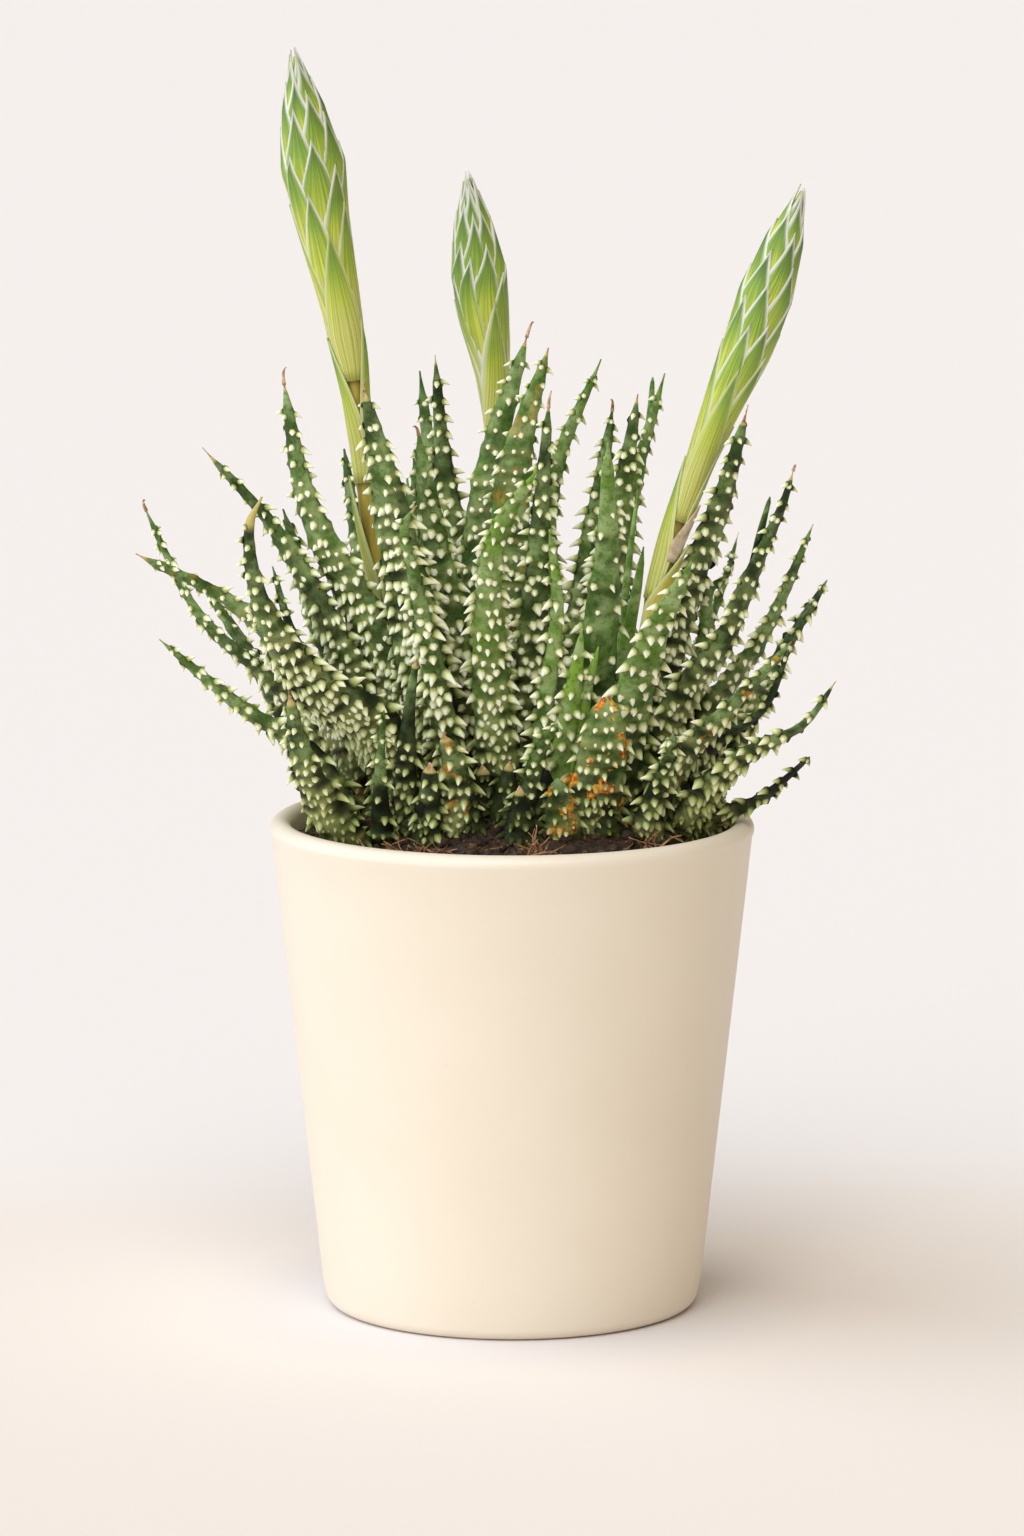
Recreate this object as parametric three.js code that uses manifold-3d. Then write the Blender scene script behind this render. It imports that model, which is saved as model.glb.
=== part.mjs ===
// Potted spider aloe: a clump of toothed leaves and three budding flower spikes in a cream clay pot.
// Millimetres, +Z up, front towards -Y, origin in the middle of the pot's flat bottom.
import * as THREE from "three";
import { mergeVertices } from "three/addons/utils/BufferGeometryUtils.js";
import Module from "manifold-3d";

const wasm = await Module();
wasm.setup();

// Pot: a plain straight taper with a soft lip
const POT_HEIGHT = 122.5;
const RIM_RADIUS = 60;
const BASE_RADIUS = 46.5;
const POT_WALL = 5.5;
const POT_FLOOR = 8;
const BASE_ROUNDING = 3.5;
const POT_SIDES = 40;

// Soil: fills the pot to a little below the rim
const SOIL_EDGE_Z = 117.5;
const SOIL_MIDDLE_Z = 120.5;
const SOIL_SIDES = 36;

// Crown: the short stems of the clump, grown together in one low mound that stands in the soil
const CROWN_MIDDLE = new THREE.Vector2(2, -2);
const CROWN_HALF_X = 46;
const CROWN_HALF_Y = 30;
const CROWN_BOTTOM_Z = 102;
const CROWN_EDGE_Z = 119.5;
const CROWN_TOP_Z = 129;
const CROWN_SIDES = 28;

// Clearance between neighbours
const GAP = 0.3;

// Leaves: an eight-sided section, thick on the back and flatter on the upper side
const LEAF_SIDES = 8;
const THICKNESS_SHARE = 0.36;
const THICKNESS_EXTRA = 0.8;
const UPPER_SIDE_SHARE = 0.55;
const INWARD_LIFT = 0.7;
const TURN_TO_FRONT = 90;
const PLAIN_SHARES = [0, 0.2, 0.42, 0.64, 0.84, 0.97];

// Soft teeth: in rows across narrow bands of the leaf, smaller towards the tip
const TOOTHED_FROM = 0.2;
const TOOTHED_TO = 0.78;
const TOOTH_ROW_STEP = 12;
const TOOTH_BAND = 2.4;
const TOOTH_FREE_SHARE = 0.1;
const TOOTH_HEIGHT = 2.6;
const TOOTH_DROOP = 0.8;
const TOOTH_SHRINK = 0.4;
const TOOTH_CLEARANCE = 1.1;
const SAMPLE_STEPS = 24;

// Flower spikes: a bare stalk below, overlapping bracts above
const STALK_SIDES = 8;
const BRACTS_PER_ROW = 5;
const BRACT_ROW_STEP = 10;
const BRACT_LIFT = 1.4;
const BRACT_VALLEY_AT = 0.9;
const BRACT_PEAK_AT = 1.3;
const BRACT_LAST_PEAK_AT = 0.995;
const BRACT_PEAK_TUCK = 0.95;
const STALK_STEPS = 7;

// Cleaning up a leaf's mesh after the cuts
const SIMPLIFY_TOLERANCE = 0.03;

const COLOURS = {
  pot: { color: 0xf3e8d8, roughness: 0.45, metalness: 0 },
  soil: { color: 0x3a2a20, roughness: 1, metalness: 0 },
  crown: { color: 0x6b5a3c, roughness: 0.9, metalness: 0 },
  leaf: { color: 0x4f7355, roughness: 0.6, metalness: 0 },
  stalk: { color: 0xa8923c, roughness: 0.6, metalness: 0 },
  bracts: { color: 0x93ad5a, roughness: 0.7, metalness: 0 },
};

// Each leaf: its widths at even steps from root to tip, then its middle line, also from root to tip.
// Teeth run up to the share of its length given by teeth, and are left out where that is 0.
// A twin is a smaller leaf or side tip grown together with it.
const LEAVES = {
  leaf_left_upper: {
    widths: [9, 9, 5.5, 3.5, 1.2],
    line: [[-33, 4, 112], [-54, 5, 150], [-77, 6, 172], [-91, 8, 199]],
  },
  leaf_left_blunt: {
    widths: [10, 11, 8.5, 5.2, 2.8],
    line: [[-31, -3, 112], [-48, -5, 155], [-67, -8, 176], [-92, -14, 190]],
  },
  leaf_left_low: {
    widths: [9, 9.5, 6.5, 4.5, 1.2],
    line: [[-36, -11, 112], [-48, -13, 139], [-67, -15, 153], [-86, -22, 170]],
  },
  leaf_left_broad: {
    widths: [11, 14, 17, 18.5, 17, 9.5, 5, 3.2, 1.5],
    line: [
      [-22, -9, 112], [-32, -17, 145], [-50, -29, 162],
      [-61, -40, 183], [-63, -45, 201], [-60, -46, 208],
    ],
  },
  leaf_left_thorny: {
    widths: [11, 12, 9, 5, 1.5],
    line: [[-36, -16, 112], [-46, -27, 131], [-51, -36, 144], [-54, -44, 161]],
  },
  leaf_left_tall: {
    widths: [9, 12, 9.5, 5.2, 1.4],
    line: [[-25, 5, 112], [-41, 3, 162], [-58, 0, 194], [-76, -4, 215]],
    twin: { widths: [8, 7, 5, 3, 1.2], line: [[-27, 4, 112], [-43, 2, 148], [-54, 1, 168], [-59, 0, 185]] },
  },
  leaf_left_peak: {
    widths: [11, 15, 13, 6.5, 1.5],
    line: [[-20, 4, 112], [-33, 2, 165], [-50, -2, 201], [-56, -6, 232]],
  },
  leaf_left_rear: {
    widths: [9, 10, 8.5, 6, 1.8],
    line: [[-22, 20, 112], [-30, 24, 155], [-38, 30, 186], [-42, 35, 210]],
  },
  leaf_centre_left: {
    widths: [10, 13.5, 13, 9, 2],
    line: [[-14, -3, 112], [-22, -7, 163], [-30, -14, 204], [-36, -22, 232]],
  },
  leaf_inner_left: {
    widths: [8, 9, 8, 5, 1.5],
    line: [[-15, 12, 112], [-19, 12, 155], [-24, 13, 185], [-26, 15, 205]],
  },
  leaf_front_hooked: {
    widths: [7, 7, 5.5, 3.5, 1.5],
    line: [[-12, -12, 112], [-17, -18, 150], [-24, -30, 188], [-26, -37, 200], [-23, -39, 205]],
  },
  leaf_inner_tall: {
    widths: [9, 11.5, 10.5, 7.2, 1.5],
    line: [[-7, 3, 112], [-14, 0, 158], [-20, -5, 197], [-23, -10, 220]],
  },
  leaf_back_left_tall: {
    widths: [8, 9.5, 8.5, 5, 1.5],
    line: [[-12, 19, 112], [-16, 24, 160], [-20, 28, 205], [-23, 31, 230]],
  },
  leaf_back_left_peak: {
    widths: [9, 11.5, 10, 5.2, 1.2],
    line: [[-8, 14, 112], [-12, 17, 165], [-17, 15, 208], [-19, 12, 236]],
  },
  leaf_centre_peak: {
    widths: [10, 13, 12.5, 7.5, 1.5],
    line: [[2, 11, 112], [-6, 10, 165], [-5, 10, 208], [4, 10, 242]],
  },
  leaf_front_bright: {
    widths: [9, 9.5, 8, 5.2, 1.8],
    line: [[0, -7, 112], [-5, -14, 155], [-4, -29, 195], [6, -42, 214]],
  },
  leaf_centre_tall: {
    widths: [10, 13, 13, 8, 1.8],
    line: [[6, 6, 112], [-1, 5, 165], [1, 3, 210], [9, 1, 239]],
  },
  leaf_centre_dark: {
    widths: [7, 8.5, 7, 4.2, 1.8],
    line: [[8, 0, 112], [5, -2, 155], [7, -7, 197], [9, -12, 227]],
  },
  leaf_back_right_tall: {
    widths: [8, 10, 8, 4.5, 1.2],
    line: [[11, 13, 112], [7, 13, 165], [10, 12, 205], [22, 12, 235]],
  },
  leaf_front_narrow: {
    widths: [5, 5, 4, 3, 1.2],
    line: [[6, -14, 112], [8, -20, 150], [11, -32, 180], [9, -45, 200]],
  },
  leaf_front_smooth: {
    widths: [10, 11.5, 9.5, 5.5, 1.8],
    teeth: 0.5,
    line: [[15, -8, 112], [20, -14, 155], [23, -28, 191], [23, -45, 221]],
  },
  leaf_inner_right: {
    widths: [8, 10, 9, 5.5, 1.2],
    line: [[13, 3, 112], [15, 1, 155], [20, 14, 190], [25, 16, 223]],
  },
  leaf_right_straight: {
    widths: [10, 12, 11, 6.2, 1.6],
    line: [[21, 8, 112], [23, 8, 165], [27, 6, 201], [31, 6, 227]],
  },
  leaf_back_right_split: {
    widths: [8, 9, 7, 4.5, 1.4],
    line: [[22, 18, 112], [24, 20, 163], [31, 23, 205], [38, 26, 230]],
    twin: { widths: [2.8, 2.2, 1], teeth: 0, line: [[31, 23, 206], [34, 25, 217], [35, 26, 229]] },
  },
  leaf_inner_thin: {
    widths: [6, 6, 5, 3.2, 1.2],
    teeth: 0,
    line: [[20, -1, 112], [26, -5, 155], [30, -14, 178], [32, -24, 193]],
    twin: {
      widths: [4, 4, 3, 2, 1],
      teeth: 0,
      line: [[21, -1, 112], [25, -3, 148], [28, -2, 180], [31, 0, 204]],
    },
  },
  leaf_right_peak: {
    widths: [9, 12, 10.5, 6.5, 1.8],
    line: [[31, 8, 112], [37, 8, 158], [52, 4, 202], [58, 0, 225]],
  },
  leaf_right_smooth: {
    widths: [8.5, 11.5, 10, 6.5, 1.8],
    teeth: 0,
    line: [[25, -9, 112], [29, -20, 153], [36, -36, 176], [43, -52, 193]],
  },
  leaf_back_right_low: {
    widths: [7, 8, 6, 3.5, 1.5],
    line: [[28, 19, 112], [37, 25, 150], [45, 35, 172], [49, 46, 186]],
  },
  leaf_back_right_edge: {
    widths: [7, 8, 5.5, 3, 1.2],
    line: [[35, 13, 112], [44, 21, 152], [52, 31, 174], [57, 42, 188]],
    twin: {
      widths: [6, 7, 6.5, 5, 2],
      line: [[36, 12, 112], [43, 14, 142], [48, 14, 165], [49, 14, 177], [53, 13, 181]],
    },
  },
  leaf_right_long: {
    widths: [9, 10, 8, 4.3, 1.2],
    line: [[32, -2, 112], [40, -4, 150], [52, -8, 168], [58, -11, 183], [66, -14, 202], [69, -16, 212]],
    twin: { widths: [2.8, 2.2, 1], teeth: 0, line: [[59, -12, 187], [61, -12, 196], [63, -14, 204]] },
  },
  leaf_right_outer: {
    widths: [9, 10, 7, 4, 1.2],
    line: [[38, 5, 112], [44, 4, 141], [62, 1, 168], [74, -4, 196]],
  },
  leaf_right_broad: {
    widths: [9, 9.5, 7, 4, 1.2],
    line: [[36, -8, 112], [38, -12, 134], [52, -17, 151], [68, -26, 170]],
  },
  leaf_right_dark: {
    widths: [6, 6, 3.5, 2.4, 1],
    line: [[42, 1, 112], [49, 0, 139], [62, -3, 150], [68, -6, 165]],
  },
  leaf_right_low: {
    widths: [9, 9.5, 6.5, 3, 1.2],
    line: [[38, -13, 112], [46, -15, 130], [59, -18, 142], [71, -22, 149], [79, -24, 160]],
  },
  leaf_right_rim: {
    widths: [7, 7, 4.5, 2.8, 1.2],
    line: [[43, -6, 112], [50, -8, 123], [61, -12, 129], [73, -16, 140]],
  },
  leaf_front_toothed: {
    widths: [9, 8, 5, 3, 1.2],
    line: [[31, -18, 112], [34, -24, 129], [38, -33, 142], [39, -42, 150]],
  },
  leaf_young_pair: {
    widths: [6, 7, 6, 4, 1.2],
    line: [[9, -14, 112], [12, -17, 138], [15, -24, 158], [17, -31, 174]],
    twin: {
      widths: [5, 5, 4, 3, 1.2],
      line: [[11, -14, 112], [16, -17, 138], [18, -22, 156], [21, -28, 169]],
    },
  },
  leaf_stub_flecked: {
    widths: [12, 15, 14, 11, 5],
    line: [[17, -20, 112], [19, -22, 128], [22, -26, 143], [23, -30, 157]],
  },
  leaf_front_bent: {
    widths: [6, 6, 5, 3.5, 1.4],
    line: [[3, -20, 112], [4, -23, 130], [7, -28, 144], [11, -34, 151]],
  },
  leaf_front_blade: {
    widths: [6, 5.5, 3.5, 2, 1],
    teeth: 0,
    line: [[-31, -20, 112], [-32, -25, 127], [-32, -31, 141], [-31, -38, 155]],
  },
  leaf_front_brown: {
    widths: [6.5, 6, 4.5, 2.8, 1.2],
    teeth: 0.45,
    line: [[-26, -16, 112], [-26, -21, 135], [-25, -28, 154], [-23, -36, 168]],
  },
  leaf_stub_broken: {
    widths: [7, 6.5, 5.5, 4.5, 4],
    line: [[-20, -24, 112], [-20, -26, 122], [-20, -28, 131], [-20, -31, 141]],
  },
  leaf_stub_dry: {
    widths: [10, 9.5, 8.5, 6, 2.5],
    line: [[-13, -21, 112], [-14, -24, 127], [-14, -29, 140], [-17, -34, 149]],
  },
  leaf_stub_front: {
    widths: [11, 10, 8, 6, 3],
    line: [[12, -23, 112], [13, -25, 120], [12, -28, 128], [11, -31, 137]],
  },
  leaf_rear_left: {
    widths: [9, 12, 11, 6.5, 1.5],
    rear: true,
    line: [[-28, 15, 112], [-39, 30, 146], [-50, 44, 170], [-58, 57, 192]],
  },
  leaf_rear_centre_left: {
    widths: [9, 12, 11, 6.5, 1.5],
    rear: true,
    line: [[-13, 25, 112], [-18, 40, 150], [-22, 54, 180], [-25, 66, 204]],
  },
  leaf_rear_centre: {
    widths: [10, 13, 11, 6.5, 1.5],
    rear: true,
    line: [[3, 24, 112], [2, 42, 148], [0, 58, 175], [-3, 71, 197]],
  },
  leaf_rear_centre_right: {
    widths: [9, 12, 11, 6.5, 1.5],
    rear: true,
    line: [[16, 24, 112], [21, 40, 150], [26, 54, 178], [30, 66, 202]],
  },
  leaf_rear_left_edge: {
    widths: [9, 11, 9, 5.5, 1.5],
    rear: true,
    line: [[-37, 8, 112], [-52, 18, 138], [-66, 28, 160], [-79, 36, 178]],
  },
  leaf_rear_right_edge: {
    widths: [9, 11, 9, 5.5, 1.5],
    rear: true,
    line: [[41, 9, 112], [54, 17, 137], [67, 26, 159], [79, 34, 177]],
  },
  leaf_rear_low: {
    widths: [9, 11, 9, 5.5, 1.5],
    rear: true,
    line: [[-4, 26, 112], [-6, 46, 132], [-8, 64, 148], [-9, 80, 162]],
  },
};

// Each spike: the middle line from root to tip, and where along it the bracts start
const SPIKES = {
  spike_left: {
    line: [[-18, 10, 112], [-33, 9, 182], [-40, 8, 237], [-47, 7, 273], [-54, 5, 313.5]],
    stalkRadius: 2.4,
    bractsFrom: 0.5,
    bractRadii: [3.4, 3.9, 5.2, 6, 7, 8.3, 5.6, 0.8],
  },
  spike_centre: {
    line: [[-2, 19, 112], [-4, 20, 190], [-4, 22, 220], [-8, 22, 254], [-11, 20, 280.5]],
    stalkRadius: 2.2,
    bractsFrom: 0.55,
    bractRadii: [3.2, 3.9, 4.7, 6.5, 7.5, 5, 0.8],
  },
  spike_right: {
    line: [[27, -3, 112], [36, 0, 180], [45, 6, 207], [60, 14, 243], [72, 20, 277.5]],
    stalkRadius: 2.6,
    bractsFrom: 0.42,
    bractRadii: [3.5, 3.8, 4.2, 5.3, 6.7, 7.2, 5.2, 0.8],
  },
};

const UP = new THREE.Vector3(0, 0, 1);

// Shared helpers
function curveThrough(line) {
  return new THREE.CatmullRomCurve3(line.map((p) => new THREE.Vector3(...p)), false, "centripetal");
}

// The value at a share of the way through an evenly spaced list
function valueAlong(values, share) {
  const place = share * (values.length - 1);
  const low = Math.min(Math.floor(place), values.length - 2);
  return THREE.MathUtils.lerp(values[low], values[low + 1], place - low);
}

function toGeometry(points, triangles) {
  const geometry = new THREE.BufferGeometry();
  const flat = points.flatMap((p) => [p.x, p.y, p.z]);
  geometry.setAttribute("position", new THREE.Float32BufferAttribute(flat, 3));
  geometry.setIndex(triangles.flat());
  return geometry;
}

function toSolid(geometry) {
  const bare = geometry.clone();
  bare.deleteAttribute("normal");
  bare.deleteAttribute("uv");
  const merged = mergeVertices(bare, 1e-4);
  return new wasm.Manifold(new wasm.Mesh({
    numProp: 3,
    vertProperties: new Float32Array(merged.attributes.position.array),
    triVerts: new Uint32Array(merged.index.array),
  }));
}

function toMesh(name, solid, finish) {
  const raw = solid.getMesh();
  const geometry = new THREE.BufferGeometry();
  geometry.setAttribute("position", new THREE.BufferAttribute(new Float32Array(raw.vertProperties), 3));
  geometry.setIndex(new THREE.BufferAttribute(new Uint32Array(raw.triVerts), 1));
  const flat = geometry.toNonIndexed();
  flat.computeVertexNormals();
  const mesh = new THREE.Mesh(flat, new THREE.MeshStandardMaterial(finish));
  mesh.name = name;
  return mesh;
}

function largestBody(solid) {
  const bodies = solid.decompose();
  return bodies.reduce((best, body) => (body.volume() > best.volume() ? body : best));
}

// Rings of points joined into one closed tube, with a point at each end.
// raised gives the apex over a cell, or null where the cell stays flat.
function closedTube(rings, startPoint, endPoint, raised = () => null) {
  const sides = rings[0].length;
  const points = rings.flat();
  const triangles = [];
  const at = (ring, side) => ring * sides + (side % sides);
  for (let ring = 0; ring + 1 < rings.length; ring += 1) {
    for (let side = 0; side < sides; side += 1) {
      const corners = [at(ring, side), at(ring, side + 1), at(ring + 1, side + 1), at(ring + 1, side)];
      const apex = raised(ring, side, corners.map((c) => points[c]));
      if (apex) {
        points.push(apex);
        const top = points.length - 1;
        corners.forEach((corner, k) => triangles.push([corner, corners[(k + 1) % 4], top]));
      } else {
        triangles.push([corners[0], corners[1], corners[2]], [corners[0], corners[2], corners[3]]);
      }
    }
  }
  points.push(startPoint, endPoint);
  const last = rings.length - 1;
  for (let side = 0; side < sides; side += 1) {
    triangles.push([at(0, side + 1), at(0, side), points.length - 2]);
    triangles.push([at(last, side), at(last, side + 1), points.length - 1]);
  }
  return toGeometry(points, triangles);
}

// Pot, soil and crown
function innerRadiusAt(z) {
  const taper = (RIM_RADIUS - BASE_RADIUS) / POT_HEIGHT;
  return BASE_RADIUS + taper * z - POT_WALL;
}

function arc(centreX, centreY, radius, fromDegrees, toDegrees, steps) {
  return Array.from({ length: steps + 1 }, (_, k) => {
    const angle = THREE.MathUtils.degToRad(fromDegrees + ((toDegrees - fromDegrees) * k) / steps);
    return new THREE.Vector2(centreX + radius * Math.cos(angle), centreY + radius * Math.sin(angle));
  });
}

function makePot() {
  const lip = POT_WALL / 2;
  const profile = [
    new THREE.Vector2(0, 0),
    ...arc(BASE_RADIUS - BASE_ROUNDING, BASE_ROUNDING, BASE_ROUNDING, -90, -6, 3),
    ...arc(RIM_RADIUS - lip, POT_HEIGHT - lip, lip, -6, 174, 5),
    new THREE.Vector2(innerRadiusAt(POT_FLOOR), POT_FLOOR),
    new THREE.Vector2(0, POT_FLOOR),
  ];
  return toSolid(new THREE.LatheGeometry(profile, POT_SIDES).rotateX(Math.PI / 2));
}

function crownRing(grow, height, shrink) {
  return Array.from({ length: CROWN_SIDES }, (_, k) => {
    const angle = (2 * Math.PI * k) / CROWN_SIDES;
    return new THREE.Vector3(
      CROWN_MIDDLE.x + (CROWN_HALF_X + grow) * shrink * Math.cos(angle),
      CROWN_MIDDLE.y + (CROWN_HALF_Y + grow) * shrink * Math.sin(angle),
      height,
    );
  });
}

function makeCrown(grow) {
  const rise = CROWN_TOP_Z - CROWN_EDGE_Z;
  const rings = [crownRing(grow, CROWN_BOTTOM_Z - grow, 1), crownRing(grow, CROWN_EDGE_Z + grow, 1)];
  for (const shrink of [0.85, 0.6, 0.3]) {
    rings.push(crownRing(grow, CROWN_EDGE_Z + grow + rise * (1 - shrink * shrink), shrink));
  }
  const bottom = new THREE.Vector3(CROWN_MIDDLE.x, CROWN_MIDDLE.y, CROWN_BOTTOM_Z - grow);
  const top = new THREE.Vector3(CROWN_MIDDLE.x, CROWN_MIDDLE.y, CROWN_TOP_Z + grow);
  return toSolid(closedTube(rings, bottom, top));
}

function makeSoilPlug(grow) {
  const bottom = POT_FLOOR + GAP;
  const profile = [
    new THREE.Vector2(0, bottom),
    new THREE.Vector2(innerRadiusAt(bottom) - GAP, bottom),
    new THREE.Vector2(innerRadiusAt(SOIL_EDGE_Z) - GAP * 2, SOIL_EDGE_Z + grow),
    new THREE.Vector2(innerRadiusAt(SOIL_EDGE_Z) - POT_WALL, (SOIL_EDGE_Z + SOIL_MIDDLE_Z) / 2 + grow),
    new THREE.Vector2(0, SOIL_MIDDLE_Z + grow),
  ];
  return toSolid(new THREE.LatheGeometry(profile, SOIL_SIDES).rotateX(Math.PI / 2));
}

// A leaf's place, direction and size at a share of its length from root to tip
function leafFrame(leaf, share) {
  const place = leaf.curve.getPointAt(share);
  const along = leaf.curve.getTangentAt(share);
  const inward = new THREE.Vector3(-leaf.outward.x, -leaf.outward.y, INWARD_LIFT);
  const face = inward.addScaledVector(along, -inward.dot(along)).normalize();
  const across = new THREE.Vector3().crossVectors(face, along);
  const halfWidth = valueAlong(leaf.widths, share) / 2;
  const halfThickness = (halfWidth * 2 * THICKNESS_SHARE + THICKNESS_EXTRA) / 2;
  return { place, along, across, face, halfWidth, halfThickness };
}

function leafPoint(frame, angle, grow) {
  const upper = Math.sin(angle) > 0 ? UPPER_SIDE_SHARE : 1;
  return frame.place.clone()
    .addScaledVector(frame.across, (frame.halfWidth + grow) * Math.cos(angle))
    .addScaledVector(frame.face, (frame.halfThickness * upper + grow) * Math.sin(angle));
}

function leafRing(leaf, share, grow) {
  const frame = leafFrame(leaf, share);
  const swell = grow / Math.cos(Math.PI / LEAF_SIDES);
  return Array.from({ length: LEAF_SIDES }, (_, k) => (
    leafPoint(frame, (2 * Math.PI * (k - 0.5)) / LEAF_SIDES, swell)
  ));
}

// A leaf turns its back away from the crown, and to the front unless it hangs over the rear
function prepareLeaf([name, { widths, teeth = TOOTHED_TO, rear, line, twin }]) {
  const curve = curveThrough(line);
  const tip = line[line.length - 1];
  const forward = rear ? 0 : TURN_TO_FRONT;
  const outward = new THREE.Vector2(tip[0] - CROWN_MIDDLE.x, tip[1] - CROWN_MIDDLE.y - forward).normalize();
  const leaf = { name, widths, teeth, curve, outward, length: curve.getLength() };
  leaf.twin = twin ? prepareLeaf([name, twin]) : null;
  return leaf;
}

// The rings lie in pairs: each pair is a narrow band with teeth, with a plain stretch after it
function leafShares(leaf) {
  if (leaf.teeth === 0) {
    return { shares: PLAIN_SHARES, bands: new Set() };
  }
  const toothed = leaf.teeth - TOOTHED_FROM;
  const rows = Math.max(2, Math.round((toothed * leaf.length) / TOOTH_ROW_STEP) + 1);
  const shares = [0];
  const bands = new Set();
  for (let row = 0; row < rows; row += 1) {
    const start = TOOTHED_FROM + (toothed * row) / (rows - 1);
    bands.add(shares.length);
    shares.push(start, start + TOOTH_BAND / leaf.length);
  }
  shares.push(...PLAIN_SHARES.filter((share) => share > leaf.teeth + TOOTH_FREE_SHARE));
  return { shares, bands };
}

function leafBody(leaf, grow, raised) {
  const { shares } = leafShares(leaf);
  const rings = shares.map((share) => leafRing(leaf, share, grow));
  const root = leaf.curve.getPointAt(0).addScaledVector(leaf.curve.getTangentAt(0), -grow);
  const tip = leaf.curve.getPointAt(1).addScaledVector(leaf.curve.getTangentAt(1), grow);
  return toSolid(closedTube(rings, root, tip, raised));
}

// The leaf's solid, with the twin that has grown together with it at the root
function leafSolid(leaf, neighbours) {
  const body = leafBody(leaf, 0, toothMaker(leaf, neighbours));
  return leaf.twin ? body.add(leafSolid(leaf.twin, neighbours)) : body;
}

function leafSpace(leaf) {
  const body = leafBody(leaf, GAP);
  return leaf.twin ? body.add(leafSpace(leaf.twin)) : body;
}

// True where a tooth's tip would lie in, or close to, another leaf or a flower stalk
function reachesNeighbour(tip, owner, neighbours) {
  return neighbours.some((other) => {
    if (other === owner) {
      return false;
    }
    const near = other.samples.reduce((best, frame) => (
      frame.place.distanceToSquared(tip) < best.place.distanceToSquared(tip) ? frame : best
    ));
    const offset = tip.clone().sub(near.place);
    const x = offset.dot(near.across) / (near.halfWidth + TOOTH_CLEARANCE);
    const y = offset.dot(near.face) / (near.halfThickness + TOOTH_CLEARANCE);
    const z = Math.max(Math.abs(offset.dot(near.along)) - near.halfStep, 0);
    return x * x + y * y < 1 && z < TOOTH_CLEARANCE;
  });
}

// Teeth stand on every other cell of a band and droop a little towards the root
function toothMaker(leaf, neighbours) {
  const { bands } = leafShares(leaf);
  return (ring, side, corners) => {
    const row = [...bands].indexOf(ring);
    if (row < 0 || (side + row) % 2 === 1) {
      return null;
    }
    const base = corners.reduce((sum, p) => sum.add(p), new THREE.Vector3()).divideScalar(4);
    const rise = new THREE.Vector3().crossVectors(
      corners[2].clone().sub(corners[0]),
      corners[3].clone().sub(corners[1]),
    ).normalize();
    const down = corners[0].clone().sub(corners[3]).normalize();
    const taper = 1 - TOOTH_SHRINK * (row / bands.size);
    const tip = base.addScaledVector(rise, TOOTH_HEIGHT * taper).addScaledVector(down, TOOTH_DROOP);
    return reachesNeighbour(tip, leaf, neighbours) ? null : tip;
  };
}

function addSamples(leaf) {
  leaf.samples = Array.from({ length: SAMPLE_STEPS + 1 }, (_, k) => leafFrame(leaf, k / SAMPLE_STEPS));
  leaf.samples.forEach((frame) => {
    frame.halfStep = leaf.length / SAMPLE_STEPS / 2;
  });
}

// Round sections for the flower spikes
function roundRing(curve, share, radii) {
  const place = curve.getPointAt(share);
  const along = curve.getTangentAt(share);
  const side = new THREE.Vector3().crossVectors(along, UP).normalize();
  const face = new THREE.Vector3().crossVectors(along, side);
  return radii.map((radius, k) => {
    const angle = (2 * Math.PI * k) / radii.length;
    return place.clone()
      .addScaledVector(side, radius * Math.cos(angle))
      .addScaledVector(face, radius * Math.sin(angle));
  });
}

function makeStalk(spike, grow) {
  const curve = spike.curve;
  const end = spike.bractsFrom - GAP / spike.length;
  const swell = grow / Math.cos(Math.PI / STALK_SIDES);
  const radii = new Array(STALK_SIDES).fill(spike.stalkRadius + swell);
  const rings = [];
  for (let k = 0; k <= STALK_STEPS; k += 1) {
    rings.push(roundRing(curve, (end * k) / STALK_STEPS, radii));
  }
  return toSolid(closedTube(rings, curve.getPointAt(0), curve.getPointAt(end)));
}

// Overlapping bracts: every second point of a row's upper ring stands out and reaches over the next row
function makeBracts(spike, grow) {
  const { curve, bractsFrom, bractRadii, length } = spike;
  const rows = Math.round(((1 - bractsFrom) * length) / BRACT_ROW_STEP);
  const step = (1 - bractsFrom) / rows;
  const ring = (share, radius) => roundRing(curve, share, new Array(BRACTS_PER_ROW * 2).fill(radius + grow));
  const rings = [];
  for (let row = 0; row < rows; row += 1) {
    const foot = bractsFrom + step * row;
    const footRadius = valueAlong(bractRadii, row / rows) - BRACT_LIFT / 2;
    const headRadius = valueAlong(bractRadii, (row + BRACT_VALLEY_AT) / rows);
    const valley = ring(foot + step * BRACT_VALLEY_AT, headRadius - BRACT_LIFT / 3);
    const peakShare = Math.min(foot + step * BRACT_PEAK_AT, BRACT_LAST_PEAK_AT);
    const peak = ring(peakShare, headRadius * BRACT_PEAK_TUCK + BRACT_LIFT / 3);
    rings.push(ring(foot, Math.max(footRadius, 1)));
    rings.push(valley.map((point, k) => ((k + row) % 2 === 0 ? peak[k] : point)));
  }
  return toSolid(closedTube(rings, curve.getPointAt(bractsFrom), curve.getPointAt(1)));
}

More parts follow.
